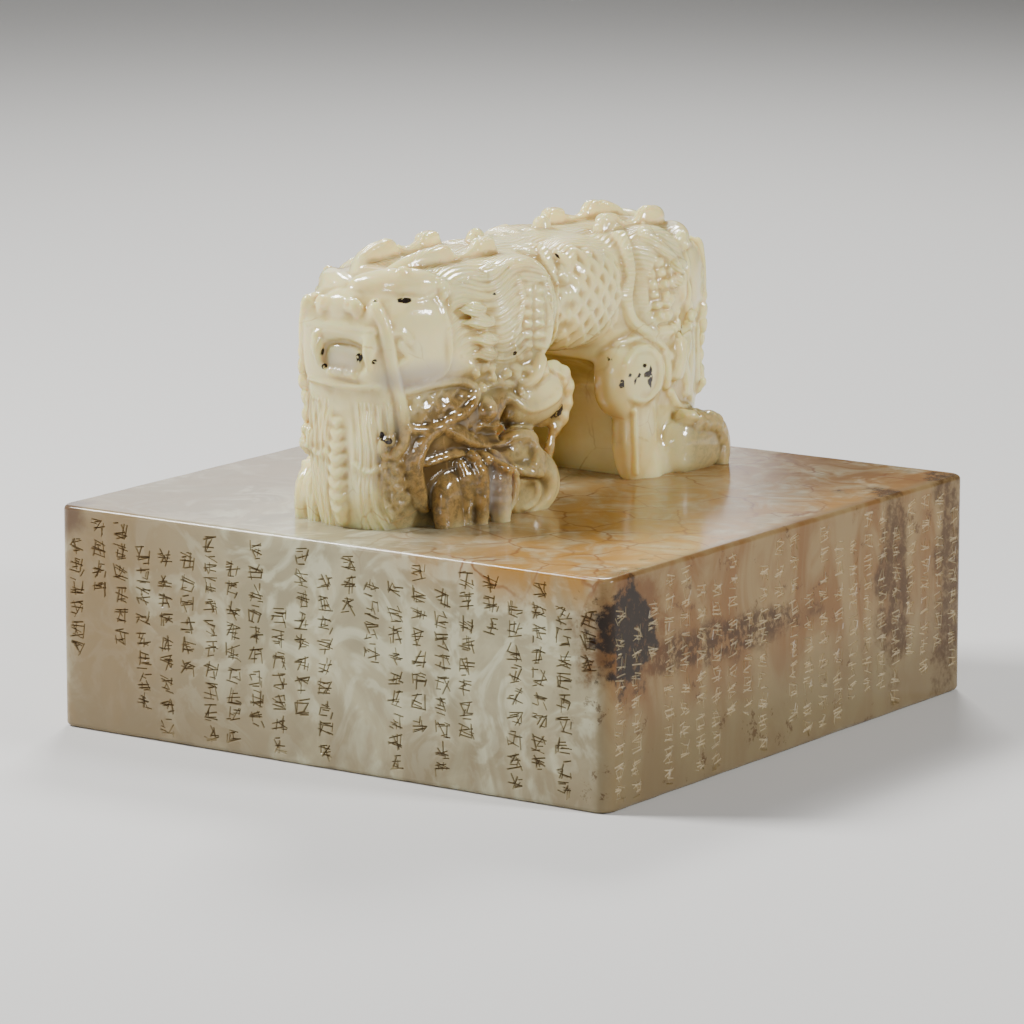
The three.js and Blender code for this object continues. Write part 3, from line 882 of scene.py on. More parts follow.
def relief(points, normals):
    """How far each vertex is raised along its normal, in millimetres.

    It adds the raised lines and the patterns of the carving, each on its own sheet or view
    and faded out at its edges.
    """
    place, way = dragon_view(points, normals)
    x, y, h = place.T
    raised = np.zeros(len(points))

    for s in (1, -1):
        u, seen = front_sheet(place, way, s)
        raised += seen * lines_on(u, h, HEAD_LINES)
    u, seen = front_sheet(place, way, 1)
    raised += seen * lines_on(u, h, PAW_LINES + MANE_LINES)
    cheek = oval(u, h, (-12.0, 30.0), (5.0, 6.8), 0.2)
    raised += 0.25 * seen * cheek

    # Scales on the neck panel, the breast's side and the wrist
    neck = oval(u, h, (-9.4, 19.3), (4.8, 2.7))
    raised += 0.45 * seen * neck * (scales(u, h, 2.3, 1.5) - 0.6)
    breast_side = oval(u, h, (-16.2, 7.4), (2.4, 6.4))
    raised += 0.4 * seen * breast_side * (scales(u, h, 2.2, 1.2) - 0.6)
    wrist = oval(u, h, (3.0, 10.4), (2.2, 1.8)) + oval(u, h, (-3.6, 14.6), (2.2, 1.2))
    raised += 0.3 * seen * wrist * (scales(u, h, 2.0) - 0.6)

    # Studs in the mane inside its rim, seen from each side
    studded = oval(u, h, (4.7, 30.2), (1.9, 5.6))
    edge = step(-0.15, 0.1, SLANT[1] * way[:, 0] - SLANT[0] * way[:, 1]) * step(6, 8, x)
    raised += 1.3 * edge * studded * (studs(u - 4.6, h + 0.25 * u, 1.75) - 0.3)

    # Strands of the mane in low waves
    mane = oval(u, h, (0.2, 32.2), (7.4, 7.6), 0.12) * (1 - studded)
    raised += 0.12 * seen * mane * np.sin(mane_wave(u, h) * np.pi / HAIR_PITCH)

    v, behind = rear_sheet(place, way)
    raised += behind * lines_on(v, h, REAR_LINES)
    studded = oval(v, h, (24.0, 30.4), (1.9, 5.2))
    raised += 1.3 * behind * studded * (studs(v - 24.0 + 0.2 * (h - 30), h, 1.7) - 0.3)
    knee = oval(v, h, (21.2, 17.2), (3.6, 4.2), 0.2)
    raised += 0.3 * behind * knee

    # Scales on the shared body's flanks
    body = within(place, (0, 0, 31), (40, 17, 9), 0.12) * step(0.15, 0.5, np.abs(way[:, 0]))
    clear = np.where(x > 0, step(-3.6, -2.6, y), step(-14.0, -12.6, y))
    raised += 0.7 * body * clear * (scales(h, -np.abs(y), 3.4, 1.1) - 0.5)

    # Lips, the banded throat and the strands of the beard on the front
    ahead = step(0.35, 0.7, -way[:, 1]) * step(34.0, 36.0, -y)
    lips = lines_on(x, h, [([(-6.8, 31.7), (0, 31.9), (6.8, 31.6)], 0.3, 0.4),
                           ([(-6.8, 22.9), (0, 22.6), (6.8, 23.0)], 0.32, 0.45),
                           ([(-4.6, 30.2), (-2.6, 30.9), (1.0, 31.0), (5.0, 30.6)], 0.3, 0.3),
                           ([(2.0, 10.6), (4.6, 9.4), (7.8, 10.8)], 0.35, 0.4),
                           ([(-7.6, 12.4), (-5.2, 11.2), (-3.2, 12.0)], 0.35, 0.4)])
    raised += ahead * lips
    throat = oval(x, h, (-1.2, 9.6), (1.9, 8.6), 0.25)
    raised += 0.2 * ahead * throat * np.sin(2 * np.pi * (h * 0.5 - np.abs(x + 1.2) * 0.3))
    strands = (1 - step(19.4, 19.9, h)) * step(1.6, 2.2, np.abs(x + 0.4))
    strands *= step(0.6, 1.2, np.abs(h - 8.4))
    raised += 0.14 * ahead * strands * np.sin(2 * np.pi * (x + 0.4 * np.sin(h / 2.6)) / 1.3)
    return raised


def hair_lines(points, normals):
    """The phase of the fine hair lines in millimetres, and how strongly they show.

    Each patch of hair has a phase that grows evenly across its strands, bent into waves.
    """
    place, way = dragon_view(points, normals)
    x, y, h = place.T
    phase = np.zeros(len(points))
    shown = np.zeros(len(points))

    def lay(patch, values):
        """Takes the values where the patch shows more than what was laid before."""
        take = patch > shown
        phase[take] = values[take]
        shown[take] = patch[take]

    u, seen = front_sheet(place, way, 1)
    mane = oval(u, h, (0.0, 32.4), (7.6, 8.0), 0.12) * (1 - oval(u, h, (5.0, 30.0), (2.2, 6)))
    lay(seen * mane, mane_wave(u, h))
    v, behind = rear_sheet(place, way)
    lay(behind * oval(v, h, (22.6, 33.6), (5.0, 6.0), 0.15)
        * (1 - oval(v, h, (24.0, 30.4), (2.2, 5.6))), h + 0.4 * v + 0.8 * np.sin(v / 2.0))
    crown = step(0.55, 0.8, way[:, 2]) * step(36.0, 37.5, h) * step(-34, -32, y)
    lay(crown, x + 0.5 * np.sin(y / 2.4))
    throat = step(0.4, 0.7, -way[:, 1]) * (1 - step(19.6, 20.4, h)) * step(2.4, 3.0, np.abs(x))
    lay(throat * (1 - step(8.0, 9.0, np.abs(x))), np.abs(x) + 0.4 * np.sin(h / 2.6))
    return phase, shown


def stains(points, normals):
    """Where the knop is russet or cool grey, where it has specks, and where honey glow is painted
    in shade.
    """
    place, way = dragon_view(points, normals)
    true_place = knop_frame(points)
    front = true_place[:, 1] < 0
    uneven = value_noise(points, 5.0, 1) - 0.5 + 0.5 * (value_noise(points, 2.0, 2) - 0.5)
    u, _ = front_sheet(place, way, 1)
    x, _, h = place.T
    drift = 3.0 * uneven
    near_side = step(3.0, 7.0, x) * front
    russet = np.maximum.reduce([
        oval(u + drift, h + drift, (-6.4, 10.4), (10.5, 12.2), 0.3),
        oval(u + drift, h + drift, (-14.6, 9.0), (4.6, 9.5), 0.3) * 0.85,
        oval(u + drift, h + drift, (3.6, 9.0), (5.0, 8.5), 0.5) * 0.75,
        oval(u + drift, h, (0.0, 24.4), (6.0, 3.0), 0.5) * 0.4,
    ]) * near_side
    foot = within(true_place + 2.0 * uneven[:, None], (15, 35, 4), (7, 9, 7)) * 0.7
    russet = np.maximum(russet, foot)
    # The honey is painted glow: light through the stone, laid under the body on faces that look
    # down or along it, where shade falls.
    inner = step(-0.2, 0.3, -way[:, 2] + np.abs(way[:, 1]))
    honey = within(true_place + 4.0 * uneven[:, None], (0, 1, 8), (16, 24, 18), 0.5) * inner
    cheek = within(true_place + uneven[:, None], (9.5, -36.0, 24.4), (4, 7, 2.2), 0.5)
    toe = within(true_place, (15, -22.6, 5), (2, 2.6, 5), 0.4)
    tongue = within(place, (0.5, -43.4, 26.6), (3.2, 1.4, 2.4), 0.3)
    grey = np.maximum.reduce([cheek * 0.8, toe * 0.9, tongue * 0.6])
    specks = np.zeros(len(points))
    for centre, radii in SPECKS:
        specks = np.maximum(specks, within(true_place, centre, radii, 0.6))
    return russet, honey, grey, specks


# Black flecks in the stone, as place and reach in the knop's sketch frame
SPECKS = [
    ((9.2, -39.0, 36.0), (1.2, 1.5, 0.42)),
    ((6.2, -42.4, 36.2), (0.4, 0.5, 0.6)),
    ((-3.6, -43.2, 28.0), (0.4, 1.0, 1.2)),
    ((-3.0, -43.4, 25.2), (0.5, 0.8, 0.5)),
    ((6.2, -42.8, 27.0), (0.8, 0.9, 0.6)),
    ((3.6, -43.0, 27.4), (0.5, 0.8, 0.5)),
    ((11.6, -3.8, 13.8), (1.2, 1.6, 0.6)),
    ((11.6, -2.4, 14.6), (1.2, 0.6, 0.7)),
    ((13.4, 19.4, 16.8), (3.0, 0.6, 1.8)),
    ((13.4, 18.4, 17.2), (3.0, 0.9, 0.5)),
    ((13.4, 17.8, 19.0), (3.0, 0.6, 0.4)),
    ((13.2, 16.3, 17.5), (3.0, 0.5, 0.4)),
    ((13.2, 15.4, 16.9), (3.0, 0.4, 0.6)),
    ((13.2, 14.2, 17.6), (3.0, 0.6, 0.35)),
    ((13.2, 13.0, 16.4), (3.0, 0.3, 0.7)),
    ((13.2, 12.2, 20.4), (3.0, 0.3, 0.5)),
    ((13.0, -16.6, 25.4), (1.2, 0.35, 0.4)),
    ((13.0, -21.0, 35.2), (1.0, 0.4, 0.2)),
    ((11.6, -8.0, 35.6), (1.2, 0.8, 0.25)),
    ((9.0, 0.6, 38.2), (0.8, 0.3, 0.4)),
    ((9.0, 3.2, 38.0), (0.8, 0.3, 0.4)),
    ((7.4, -42.2, 15.4), (0.8, 0.5, 0.8)),
    ((8.2, -41.8, 14.6), (0.8, 0.4, 0.5)),
]


def carve_knop(made, sizes):
    """Draws an even mesh over the knop, raises its relief, thins it and paints its stains."""
    coarser = 1.0
    evened(made, sizes.grain * coarser, 2)

    mesh = made.data
    points = corners(mesh)
    normals = corner_normals(mesh)
    raised = relief(points, normals)
    raised = spread_out(mesh, raised, 1)
    points = points + normals * raised[:, None]
    margin = 0.01
    points = np.clip(points, np.array(CAD_LOW) / MM + margin, np.array(CAD_HIGH) / MM - margin)
    points[:, 2] = np.maximum(points[:, 2], BLOCK_TOP - KNOP_SUNK)
    set_corners(mesh, points)

    count = sum(len(p.vertices) - 2 for p in mesh.polygons)
    most = sizes.knop_triangles
    if count > most:
        thin = made.modifiers.new("thin", "DECIMATE")
        thin.ratio = most / count
        apply_modifiers(made)
    mesh = made.data
    points = corners(mesh)
    normals = corner_normals(mesh)
    phase, shown = hair_lines(points, normals)
    paint_on(mesh, "hair_phase", phase)
    paint_on(mesh, "hair_shown", shown)
    names = ("russet", "honey", "grey", "specks")
    for name, values in zip(names, stains(points, normals)):
        paint_on(mesh, name, values)
    paint_on(mesh, "hollow", hollows(mesh, 0.013))
    mesh.polygons.foreach_set("use_smooth", np.ones(len(mesh.polygons), bool))


# The block with its engraved sides


def rounded_block(side, height, corner, edge):
    """The block as one closed skin of rings stacked from the underside's middle to the top's.

    A ring is a square with round corners. Along the stack it grows from the middle to the
    foot of the edge, follows a quarter circle out, goes straight up, and comes back in. The
    edges are worn: noise takes up to a quarter of a millimetre off where they turn.
    """
    half = side / 2
    per_run, per_bend, per_edge, up = 44, 6, 6, 9
    inner = np.array([0.25, 0.5, 0.75, 0.92])
    flat_rings = np.zeros(len(inner))
    straight = np.linspace(0, 1, per_run + 1)[:-1]
    arc = np.linspace(0, np.pi / 2, per_bend + 1)
    turn = np.linspace(0, np.pi / 2, per_edge)
    shrink = np.concatenate([inner, np.ones(2 * per_edge + up), inner[::-1]])
    inset = np.concatenate([flat_rings + edge, edge * (1 - np.sin(turn)), np.zeros(up),
                            edge * (1 - np.cos(turn)), flat_rings + edge])
    height_at = np.concatenate([flat_rings, edge * (1 - np.cos(turn)),
                                np.linspace(edge, height - edge, up + 2)[1:-1],
                                height - edge + edge * np.sin(turn), flat_rings + height])
    outline = []
    for quarter in range(4):
        c, s = math.cos(quarter * math.pi / 2), math.sin(quarter * math.pi / 2)
        run = np.stack([np.full(per_run, half), (half - corner) * (2 * straight - 1)], -1)
        bend = half - corner + corner * np.stack([np.cos(arc), np.sin(arc)], -1)
        piece = np.concatenate([run, bend[:-1]])
        outline.append(piece @ np.array([[c, s], [-s, c]]))
    outline = np.concatenate(outline)
    share = 1 - inset / half
    flat = outline[None] * (share * shrink)[:, None, None]
    z = np.broadcast_to(height_at[:, None, None], (*flat.shape[:2], 1))
    rings = np.concatenate([flat, z], -1)
    wear = 0.22 * np.clip(value_noise(rings.reshape(-1, 3), 4.0, 5) - 0.35, 0, 1)
    wear = wear.reshape(rings.shape[:2]) * (inset > 0.01)[:, None] * (shrink == 1)[:, None]
    rings[..., :2] *= (1 - wear / half)[..., None]
    return skin(rings, np.array([0, 0, 0.0]), np.array([0, 0, height]))


def box(low, high):
    """A plain box between two corners, as a closed skin of two rings."""
    x0, y0, z0 = low
    x1, y1, z1 = high
    outline = np.array([(x0, y0), (x1, y0), (x1, y1), (x0, y1)], float)
    rings = np.stack([np.c_[outline, np.full(4, z)] for z in (z0, z1)])
    return skin(rings, rings[0].mean(0), rings[1].mean(0))


def sunk_ground(side):
    """The hollow of the printing face inside its rim."""
    inner = side / 2 - RIM_WIDTH
    return box((-inner, -inner, -1), (inner, inner, GROUND_DEPTH))


def raised_bars(side):
    """Rows of raised bars on the printing face, then the links between the rows."""
    inner = side - 2 * RIM_WIDTH
    bar, gap, overlap = 5.2, 7.6, 0.5
    pitch = bar + gap
    rows = int((inner - gap) // pitch)
    used = rows * pitch - gap
    bars, links = [], []
    for row in range(rows):
        y = -used / 2 + row * pitch
        split = used * (0.62 if row % 2 else 0.38)
        for start, end in ((0, split - gap / 2), (split + gap / 2, used)):
            bars.append(box((start - used / 2, y, 0), (end - used / 2, y + bar, BAR_HEIGHT)))
        if row + 1 < rows:
            x = -used / 2 + used * (0.8 if row % 2 else 0.2)
            low = x - bar / 2, y + bar - overlap, 0.001
            links.append(box(low, (x + bar / 2, y + pitch + overlap, BAR_HEIGHT)))
    return joined(bars), joined(links)


def stroke_parts(start, end, width, depth):
    """Tapered V cuts, one from each start to its end on a face at z = 0, as closed wedges.

    Above the face a wedge widens on evenly, so it cuts the face cleanly, and its keel lies
    at the depth and is shorter than its mouth by a width at each end.
    """
    proud = 0.12
    wide = (width / 2 * (1 + proud / depth))[:, None]
    along = end - start
    along /= np.linalg.norm(along, axis=1, keepdims=True)
    over = np.stack([-along[:, 1], along[:, 0]], -1)
    more = along * wide
    a, b, c, d = (start - more - over * wide, end + more - over * wide,
                  end + more + over * wide, start - more + over * wide)
    keel = along * (width / 2)[:, None] * 0.6
    flat = np.stack([a, b, c, d, start + keel, end - keel], 1)
    z = np.array([proud] * 4 + [0] * 2)[None, :] - np.array([0] * 4 + [1] * 2) * depth[:, None]
    points = np.concatenate([flat, z[..., None]], -1)
    faces = np.array([(0, 1, 2), (0, 2, 3), (0, 5, 1), (0, 4, 5), (2, 4, 3), (2, 5, 4),
                      (0, 3, 4), (1, 5, 2)])
    numbers = faces[None] + 6 * np.arange(len(points))[:, None, None]
    return points.reshape(-1, 3), numbers.reshape(-1, 3)


def stroke_layers(sizes, rng, per_cell):
    """The strokes of one side in layers whose strokes stay clear of one another.

    The side is ruled in columns and cells. A column starts near the top and runs for a random
    number of cells. Each cell holds a few short slanted strokes in random places, which spell
    nothing, and the first stroke of every cell makes the first layer, and so on.
    """
    side = sizes.side / MM
    columns, rows = 23, 10
    margin, first, rise, half_cell = 3.5, 2.9, 3.35, 1.45
    pitch = (side - 2 * margin) / (columns - 1)
    cells = []
    for column in range(columns):
        x = -side / 2 + margin + column * pitch
        skipped = rng.integers(0, 2) if rng.random() < 0.8 else rng.integers(2, 4)
        count = rng.integers(8, 11) if rng.random() < 0.75 else rng.integers(3, 7)
        for i in range(int(skipped), int(min(skipped + count, rows))):
            cells.append((x, BLOCK_TOP - first - i * rise))
    cells = np.array(cells)
    lying = np.radians([4, -9, 9, 14, -14])
    standing = np.radians([84, 97, 78, 62, 118])
    layers = []
    for layer in range(per_cell):
        slants = standing if layer % 3 == 1 else lying
        angle = rng.choice(slants, len(cells)) + rng.normal(0, 0.08, len(cells))
        reach = rng.uniform(0.35, 1.3, len(cells))
        way = np.stack([np.cos(angle), np.sin(angle)], -1) * reach[:, None]
        spot = cells + rng.uniform(-1.0, 1.0, (len(cells), 2)) * (half_cell - np.abs(way))
        width = sizes.stroke_width / MM * rng.uniform(0.7, 1.15, len(cells))
        depth = sizes.stroke_depth / MM * rng.uniform(0.8, 1.15, len(cells))
        layers.append(stroke_parts(spot - way, spot + way, width, depth))
    return layers


def onto_side(part, quarter, side):
    """A part drawn on a face at z = 0 set on one of the block's sides, by quarter turns."""
    points, triangles = part
    u, v, out = points.T
    c, s = math.cos(quarter * math.pi / 2), math.sin(quarter * math.pi / 2)
    x, y = u, -side / 2 - out
    return np.stack([c * x - s * y, s * x + c * y, v], -1), triangles


# Strokes in a cell on the front, the right, the back and the left
STROKES_A_CELL = (8, 8, 5, 5)


def engrave(made, sizes):
    """Cuts the strokes into all four sides, layer by layer, fewer on the hidden two."""
    rng = np.random.default_rng(7)
    sides = [stroke_layers(sizes, rng, per_cell) for per_cell in STROKES_A_CELL]
    side = sizes.side / MM
    for layer in range(max(STROKES_A_CELL)):
        parts = [
            onto_side(layers[layer], quarter, side)
            for quarter, layers in enumerate(sides)
            if layer < len(layers)
        ]
        combine(made, joined(parts), "DIFFERENCE")


def paint_block(made, sizes):
    """Stores how deep each vertex lies in an engraved stroke, from 0 to 1.

    It is the depth below the flat of the side in shares of full, and 0 near the edges.
    """
    full, top_margin, edge_margin = 0.2, 1.5, 2.0
    mesh = made.data
    points = corners(mesh)
    half = sizes.side / MM / 2
    depth = half - np.abs(points[:, :2]).max(1)
    clear = (points[:, 2] > edge_margin) & (points[:, 2] < BLOCK_TOP - top_margin)
    flat = np.abs(points[:, :2]).min(1) < half - edge_margin
    paint_on(mesh, "engraved", np.clip(depth / full, 0, 1) * clear * flat)
    mesh.polygons.foreach_set("use_smooth", np.ones(len(mesh.polygons), bool))
    mesh.set_sharp_from_angle(angle=math.radians(32))


# Materials

# Colours that only one pattern uses, as linear red, green and blue
# The next colour is painted shade, laid warm in the knop's hollows.
WARM_HOLLOW_SHADE = (0.46, 0.30, 0.08)
AMBER = (0.27, 0.155, 0.04)
MILKY_GREY = (0.42, 0.36, 0.30)
CRACK_BROWN = (0.42, 0.25, 0.09)
MOSS = (0.43, 0.39, 0.25)
CLOUD = (0.55, 0.54, 0.38)
WARM_BROWN = (0.21, 0.135, 0.062)
LOW_BROWN = (0.22, 0.17, 0.10)
TOP_HONEY = (0.34, 0.175, 0.038)
REAR_BROWN = (0.20, 0.09, 0.03)
TOP_CRACK = (0.18, 0.06, 0.02)
SIDE_BROWN = (0.16, 0.082, 0.029)
SIDE_TAN = (0.22, 0.152, 0.07)
SIDE_FOOT = (0.16, 0.13, 0.072)
BAND_BLACK = (0.045, 0.02, 0.007)
STREAK_BLACK = (0.055, 0.026, 0.009)
HALO_BROWN = (0.11, 0.045, 0.012)
SPOT_BROWN = (0.07, 0.035, 0.015)
CORNER_BROWN = (0.10, 0.06, 0.04)
# Painted highlight in the right side's strokes, and ink with painted shade in the grooves of the
# others
STROKE_HIGHLIGHT = (0.62, 0.54, 0.38)
STROKE_INK_AND_SHADE = (0.045, 0.025, 0.012)


class Paint:
    """Builds a material's nodes, so that a pattern reads as a formula."""

    def __init__(self, name):
        self.material = bpy.data.materials.new(name)
        self.material.use_nodes = True
        self.tree = self.material.node_tree
        self.shader = next(n for n in self.tree.nodes if n.type == "BSDF_PRINCIPLED")
        self.place = self.tree.nodes.new("ShaderNodeTexCoord").outputs["Object"]

    def node(self, kind, inputs=None, **settings):
        """A new node with its settings, and its inputs linked or set by name or number."""
        made = self.tree.nodes.new(kind)
        for key, value in settings.items():
            setattr(made, key, value)
        for key, value in (inputs or {}).items():
            if isinstance(value, bpy.types.NodeSocket):
                self.tree.links.new(value, made.inputs[key])
            else:
                made.inputs[key].default_value = value
        return made

    def attribute(self, name):
        """The number a vertex that the mesh holds under that name."""
        return self.node("ShaderNodeAttribute", attribute_name=name).outputs["Fac"]

    def math(self, operation, a, b=0.0, clamp=False):
        """One sum of two numbers."""
        inputs = {0: a, 1: b}
        return self.node("ShaderNodeMath", inputs, operation=operation, use_clamp=clamp).outputs[0]

    def rise(self, value, low, high, start=0.0, end=1.0):
        """Start below low, end above high, and a smooth rise between."""
        inputs = {"Value": value, "From Min": low, "From Max": high, "To Min": start,
                  "To Max": end}
        made = self.node("ShaderNodeMapRange", inputs, interpolation_type="SMOOTHSTEP")
        return made.outputs["Result"]

    def noise(self, size, detail=3.0, twist=0.0, stretch=None, seed=0.0, rough=0.55):
        """Soft random cloud about size metres across, from 0 to 1, longer by stretch."""
        inputs = {"Vector": self.place, "Scale": stretch or (1, 1, 1), "Location": (seed, seed, 0)}
        moved = self.node("ShaderNodeMapping", inputs).outputs["Vector"]
        inputs = {"Vector": moved, "Scale": 1 / size, "Detail": detail, "Distortion": twist,
                  "Roughness": rough}
        return self.node("ShaderNodeTexNoise", inputs).outputs["Fac"]

    def veins(self, size, thin, seed=0.0, bend=0.35):
        """Cracks: 1 on the walls between random cells about size metres across, else 0."""
        inputs = {"Vector": self.place, "Scale": 0.9 / size, "Detail": 4.0}
        wander = self.node("ShaderNodeTexNoise", inputs).outputs["Color"]
        inputs = {0: wander, 1: (0.5, 0.5, 0.5)}
        wander = self.node("ShaderNodeVectorMath", inputs, operation="SUBTRACT").outputs[0]
        inputs = {0: wander, "Scale": bend * 2 * size}
        wander = self.node("ShaderNodeVectorMath", inputs, operation="SCALE").outputs[0]
        inputs = {0: self.place, 1: wander}
        moved = self.node("ShaderNodeVectorMath", inputs, operation="ADD").outputs[0]
        inputs = {0: moved, 1: (seed, seed, seed)}
        moved = self.node("ShaderNodeVectorMath", inputs, operation="ADD").outputs[0]
        inputs = {"Vector": moved, "Scale": 1 / size}
        walls = self.node("ShaderNodeTexVoronoi", inputs, feature="DISTANCE_TO_EDGE")
        return self.rise(walls.outputs["Distance"], 0.0, thin, 1.0, 0.0)

    def blob(self, centre, radii, fray=0.5, soft=0.5, grain=0.006):
        """1 at centre and 0 past the radii, in millimetres, with its rim frayed by noise."""
        inputs = {0: self.place, 1: tuple(c * MM for c in centre)}
        away = self.node("ShaderNodeVectorMath", inputs, operation="SUBTRACT").outputs[0]
        inputs = {0: away, 1: tuple(r * MM for r in radii)}
        away = self.node("ShaderNodeVectorMath", inputs, operation="DIVIDE").outputs[0]
        far = self.node("ShaderNodeVectorMath", {0: away}, operation="LENGTH").outputs["Value"]
        cloud = self.math("SUBTRACT", self.noise(grain, 5.0, rough=0.65), 0.5)
        far = self.math("ADD", far, self.math("MULTIPLY", cloud, fray * 2))
        return self.rise(far, 1 - soft, 1 + soft * 0.4, 1.0, 0.0)

    def mix(self, share, one, two):
        """The colour one where share is 0 and two where it is 1."""
        made = self.node("ShaderNodeMix", data_type="RGBA")
        for index, value in ((0, share), (6, one), (7, two)):
            if isinstance(value, bpy.types.NodeSocket):
                self.tree.links.new(value, made.inputs[index])
            elif index == 0:
                made.inputs[index].default_value = value
            else:
                made.inputs[index].default_value = (*value, 1.0)
        return made.outputs[2]

    def finish(self, colour, height, strength, distance, **values):
        """Links the colour and the bumps, and sets the shader's plain values."""
        inputs = {"Height": height, "Strength": strength, "Distance": distance}
        bump = self.node("ShaderNodeBump", inputs).outputs["Normal"]
        self.tree.links.new(colour, self.shader.inputs["Base Color"])
        self.tree.links.new(bump, self.shader.inputs["Normal"])
        for name, value in values.items():
            self.shader.inputs[name.replace("_", " ")].default_value = value
        return self.material


def knop_jade(colours):
    """Creamy jade: russet stains, painted honey glow and shade, dark flecks, fine engraved hair.
    """
    p = Paint("jade_knop")
    cloud = p.noise(0.012, 4.0, 0.6)
    fine = p.noise(0.0012, 6.0, 0.4, rough=0.7)
    hollow = p.attribute("hollow")
    colour = p.mix(p.rise(cloud, 0.35, 0.7), colours.cream[:], colours.pale_green[:])
    # Painted glow: the honey tint stands for light through the stone in the shade under the body.
    uneven = p.rise(p.noise(0.008, 4.0), 0.2, 0.6, 0.6, 1.0)
    honey = p.math("MULTIPLY", p.attribute("honey"), uneven)
    colour = p.mix(honey, colour, colours.honey[:])
    # Painted shade: a warm darker colour laid in the hollows, where shade falls.
    warm_hollow_shade = p.math("MULTIPLY", hollow, p.rise(p.noise(0.006, 3.0, seed=3.0), 0.3, 0.6, 0.25, 0.8))
    colour = p.mix(warm_hollow_shade, colour, WARM_HOLLOW_SHADE)
    russet = p.attribute("russet")
    mottle = p.rise(fine, 0.42, 0.62, 0.0, 0.75)
    # In the russet the dark colour goes where the stone is mottled, which is real, and into the
    # hollows, which is painted shade.
    deep = p.math("MAXIMUM", mottle, hollow)
    warm = p.mix(deep, AMBER, colours.russet[:])
    colour = p.mix(p.math("MULTIPLY", russet, 0.92), colour, warm)
    colour = p.mix(p.attribute("grey"), colour, MILKY_GREY)
    crack = p.math("MULTIPLY", p.veins(0.011, 0.02), p.rise(cloud, 0.5, 0.62, 0.0, 0.5))
    colour = p.mix(crack, colour, CRACK_BROWN)
    ragged = p.rise(p.noise(0.0008, 3.0, 0.6, rough=0.6), 0.36, 0.42)
    fleck = p.math("MULTIPLY", p.rise(p.attribute("specks"), 0.3, 0.55), ragged)
    stray = p.math("MULTIPLY", p.rise(p.noise(0.0011, 2.0), 0.77, 0.79),
                   p.rise(p.noise(0.009, 2.0, seed=9.0), 0.5, 0.62))
    colour = p.mix(p.math("MAXIMUM", fleck, stray), colour, colours.fleck[:])

    strand = p.math("MULTIPLY", p.attribute("hair_phase"), 2 * math.pi / HAIR_PITCH)
    strand = p.math("SINE", strand)
    wobble = p.noise(0.004, 2.0)
    strand = p.math("MULTIPLY", p.math("MULTIPLY", strand, p.attribute("hair_shown")),
                    p.rise(wobble, 0.2, 0.5, 0.55, 1.0))
    pitted = p.math("MULTIPLY", p.noise(0.0009, 3.0), 0.35)
    height = p.math("ADD", strand, pitted)
    return p.finish(
        colour, height, 0.55, 0.00016,
        Roughness=0.13, IOR=1.62, Subsurface_Weight=0.75,
        Subsurface_Radius=(1.0, 0.65, 0.28), Subsurface_Scale=0.004,
    )


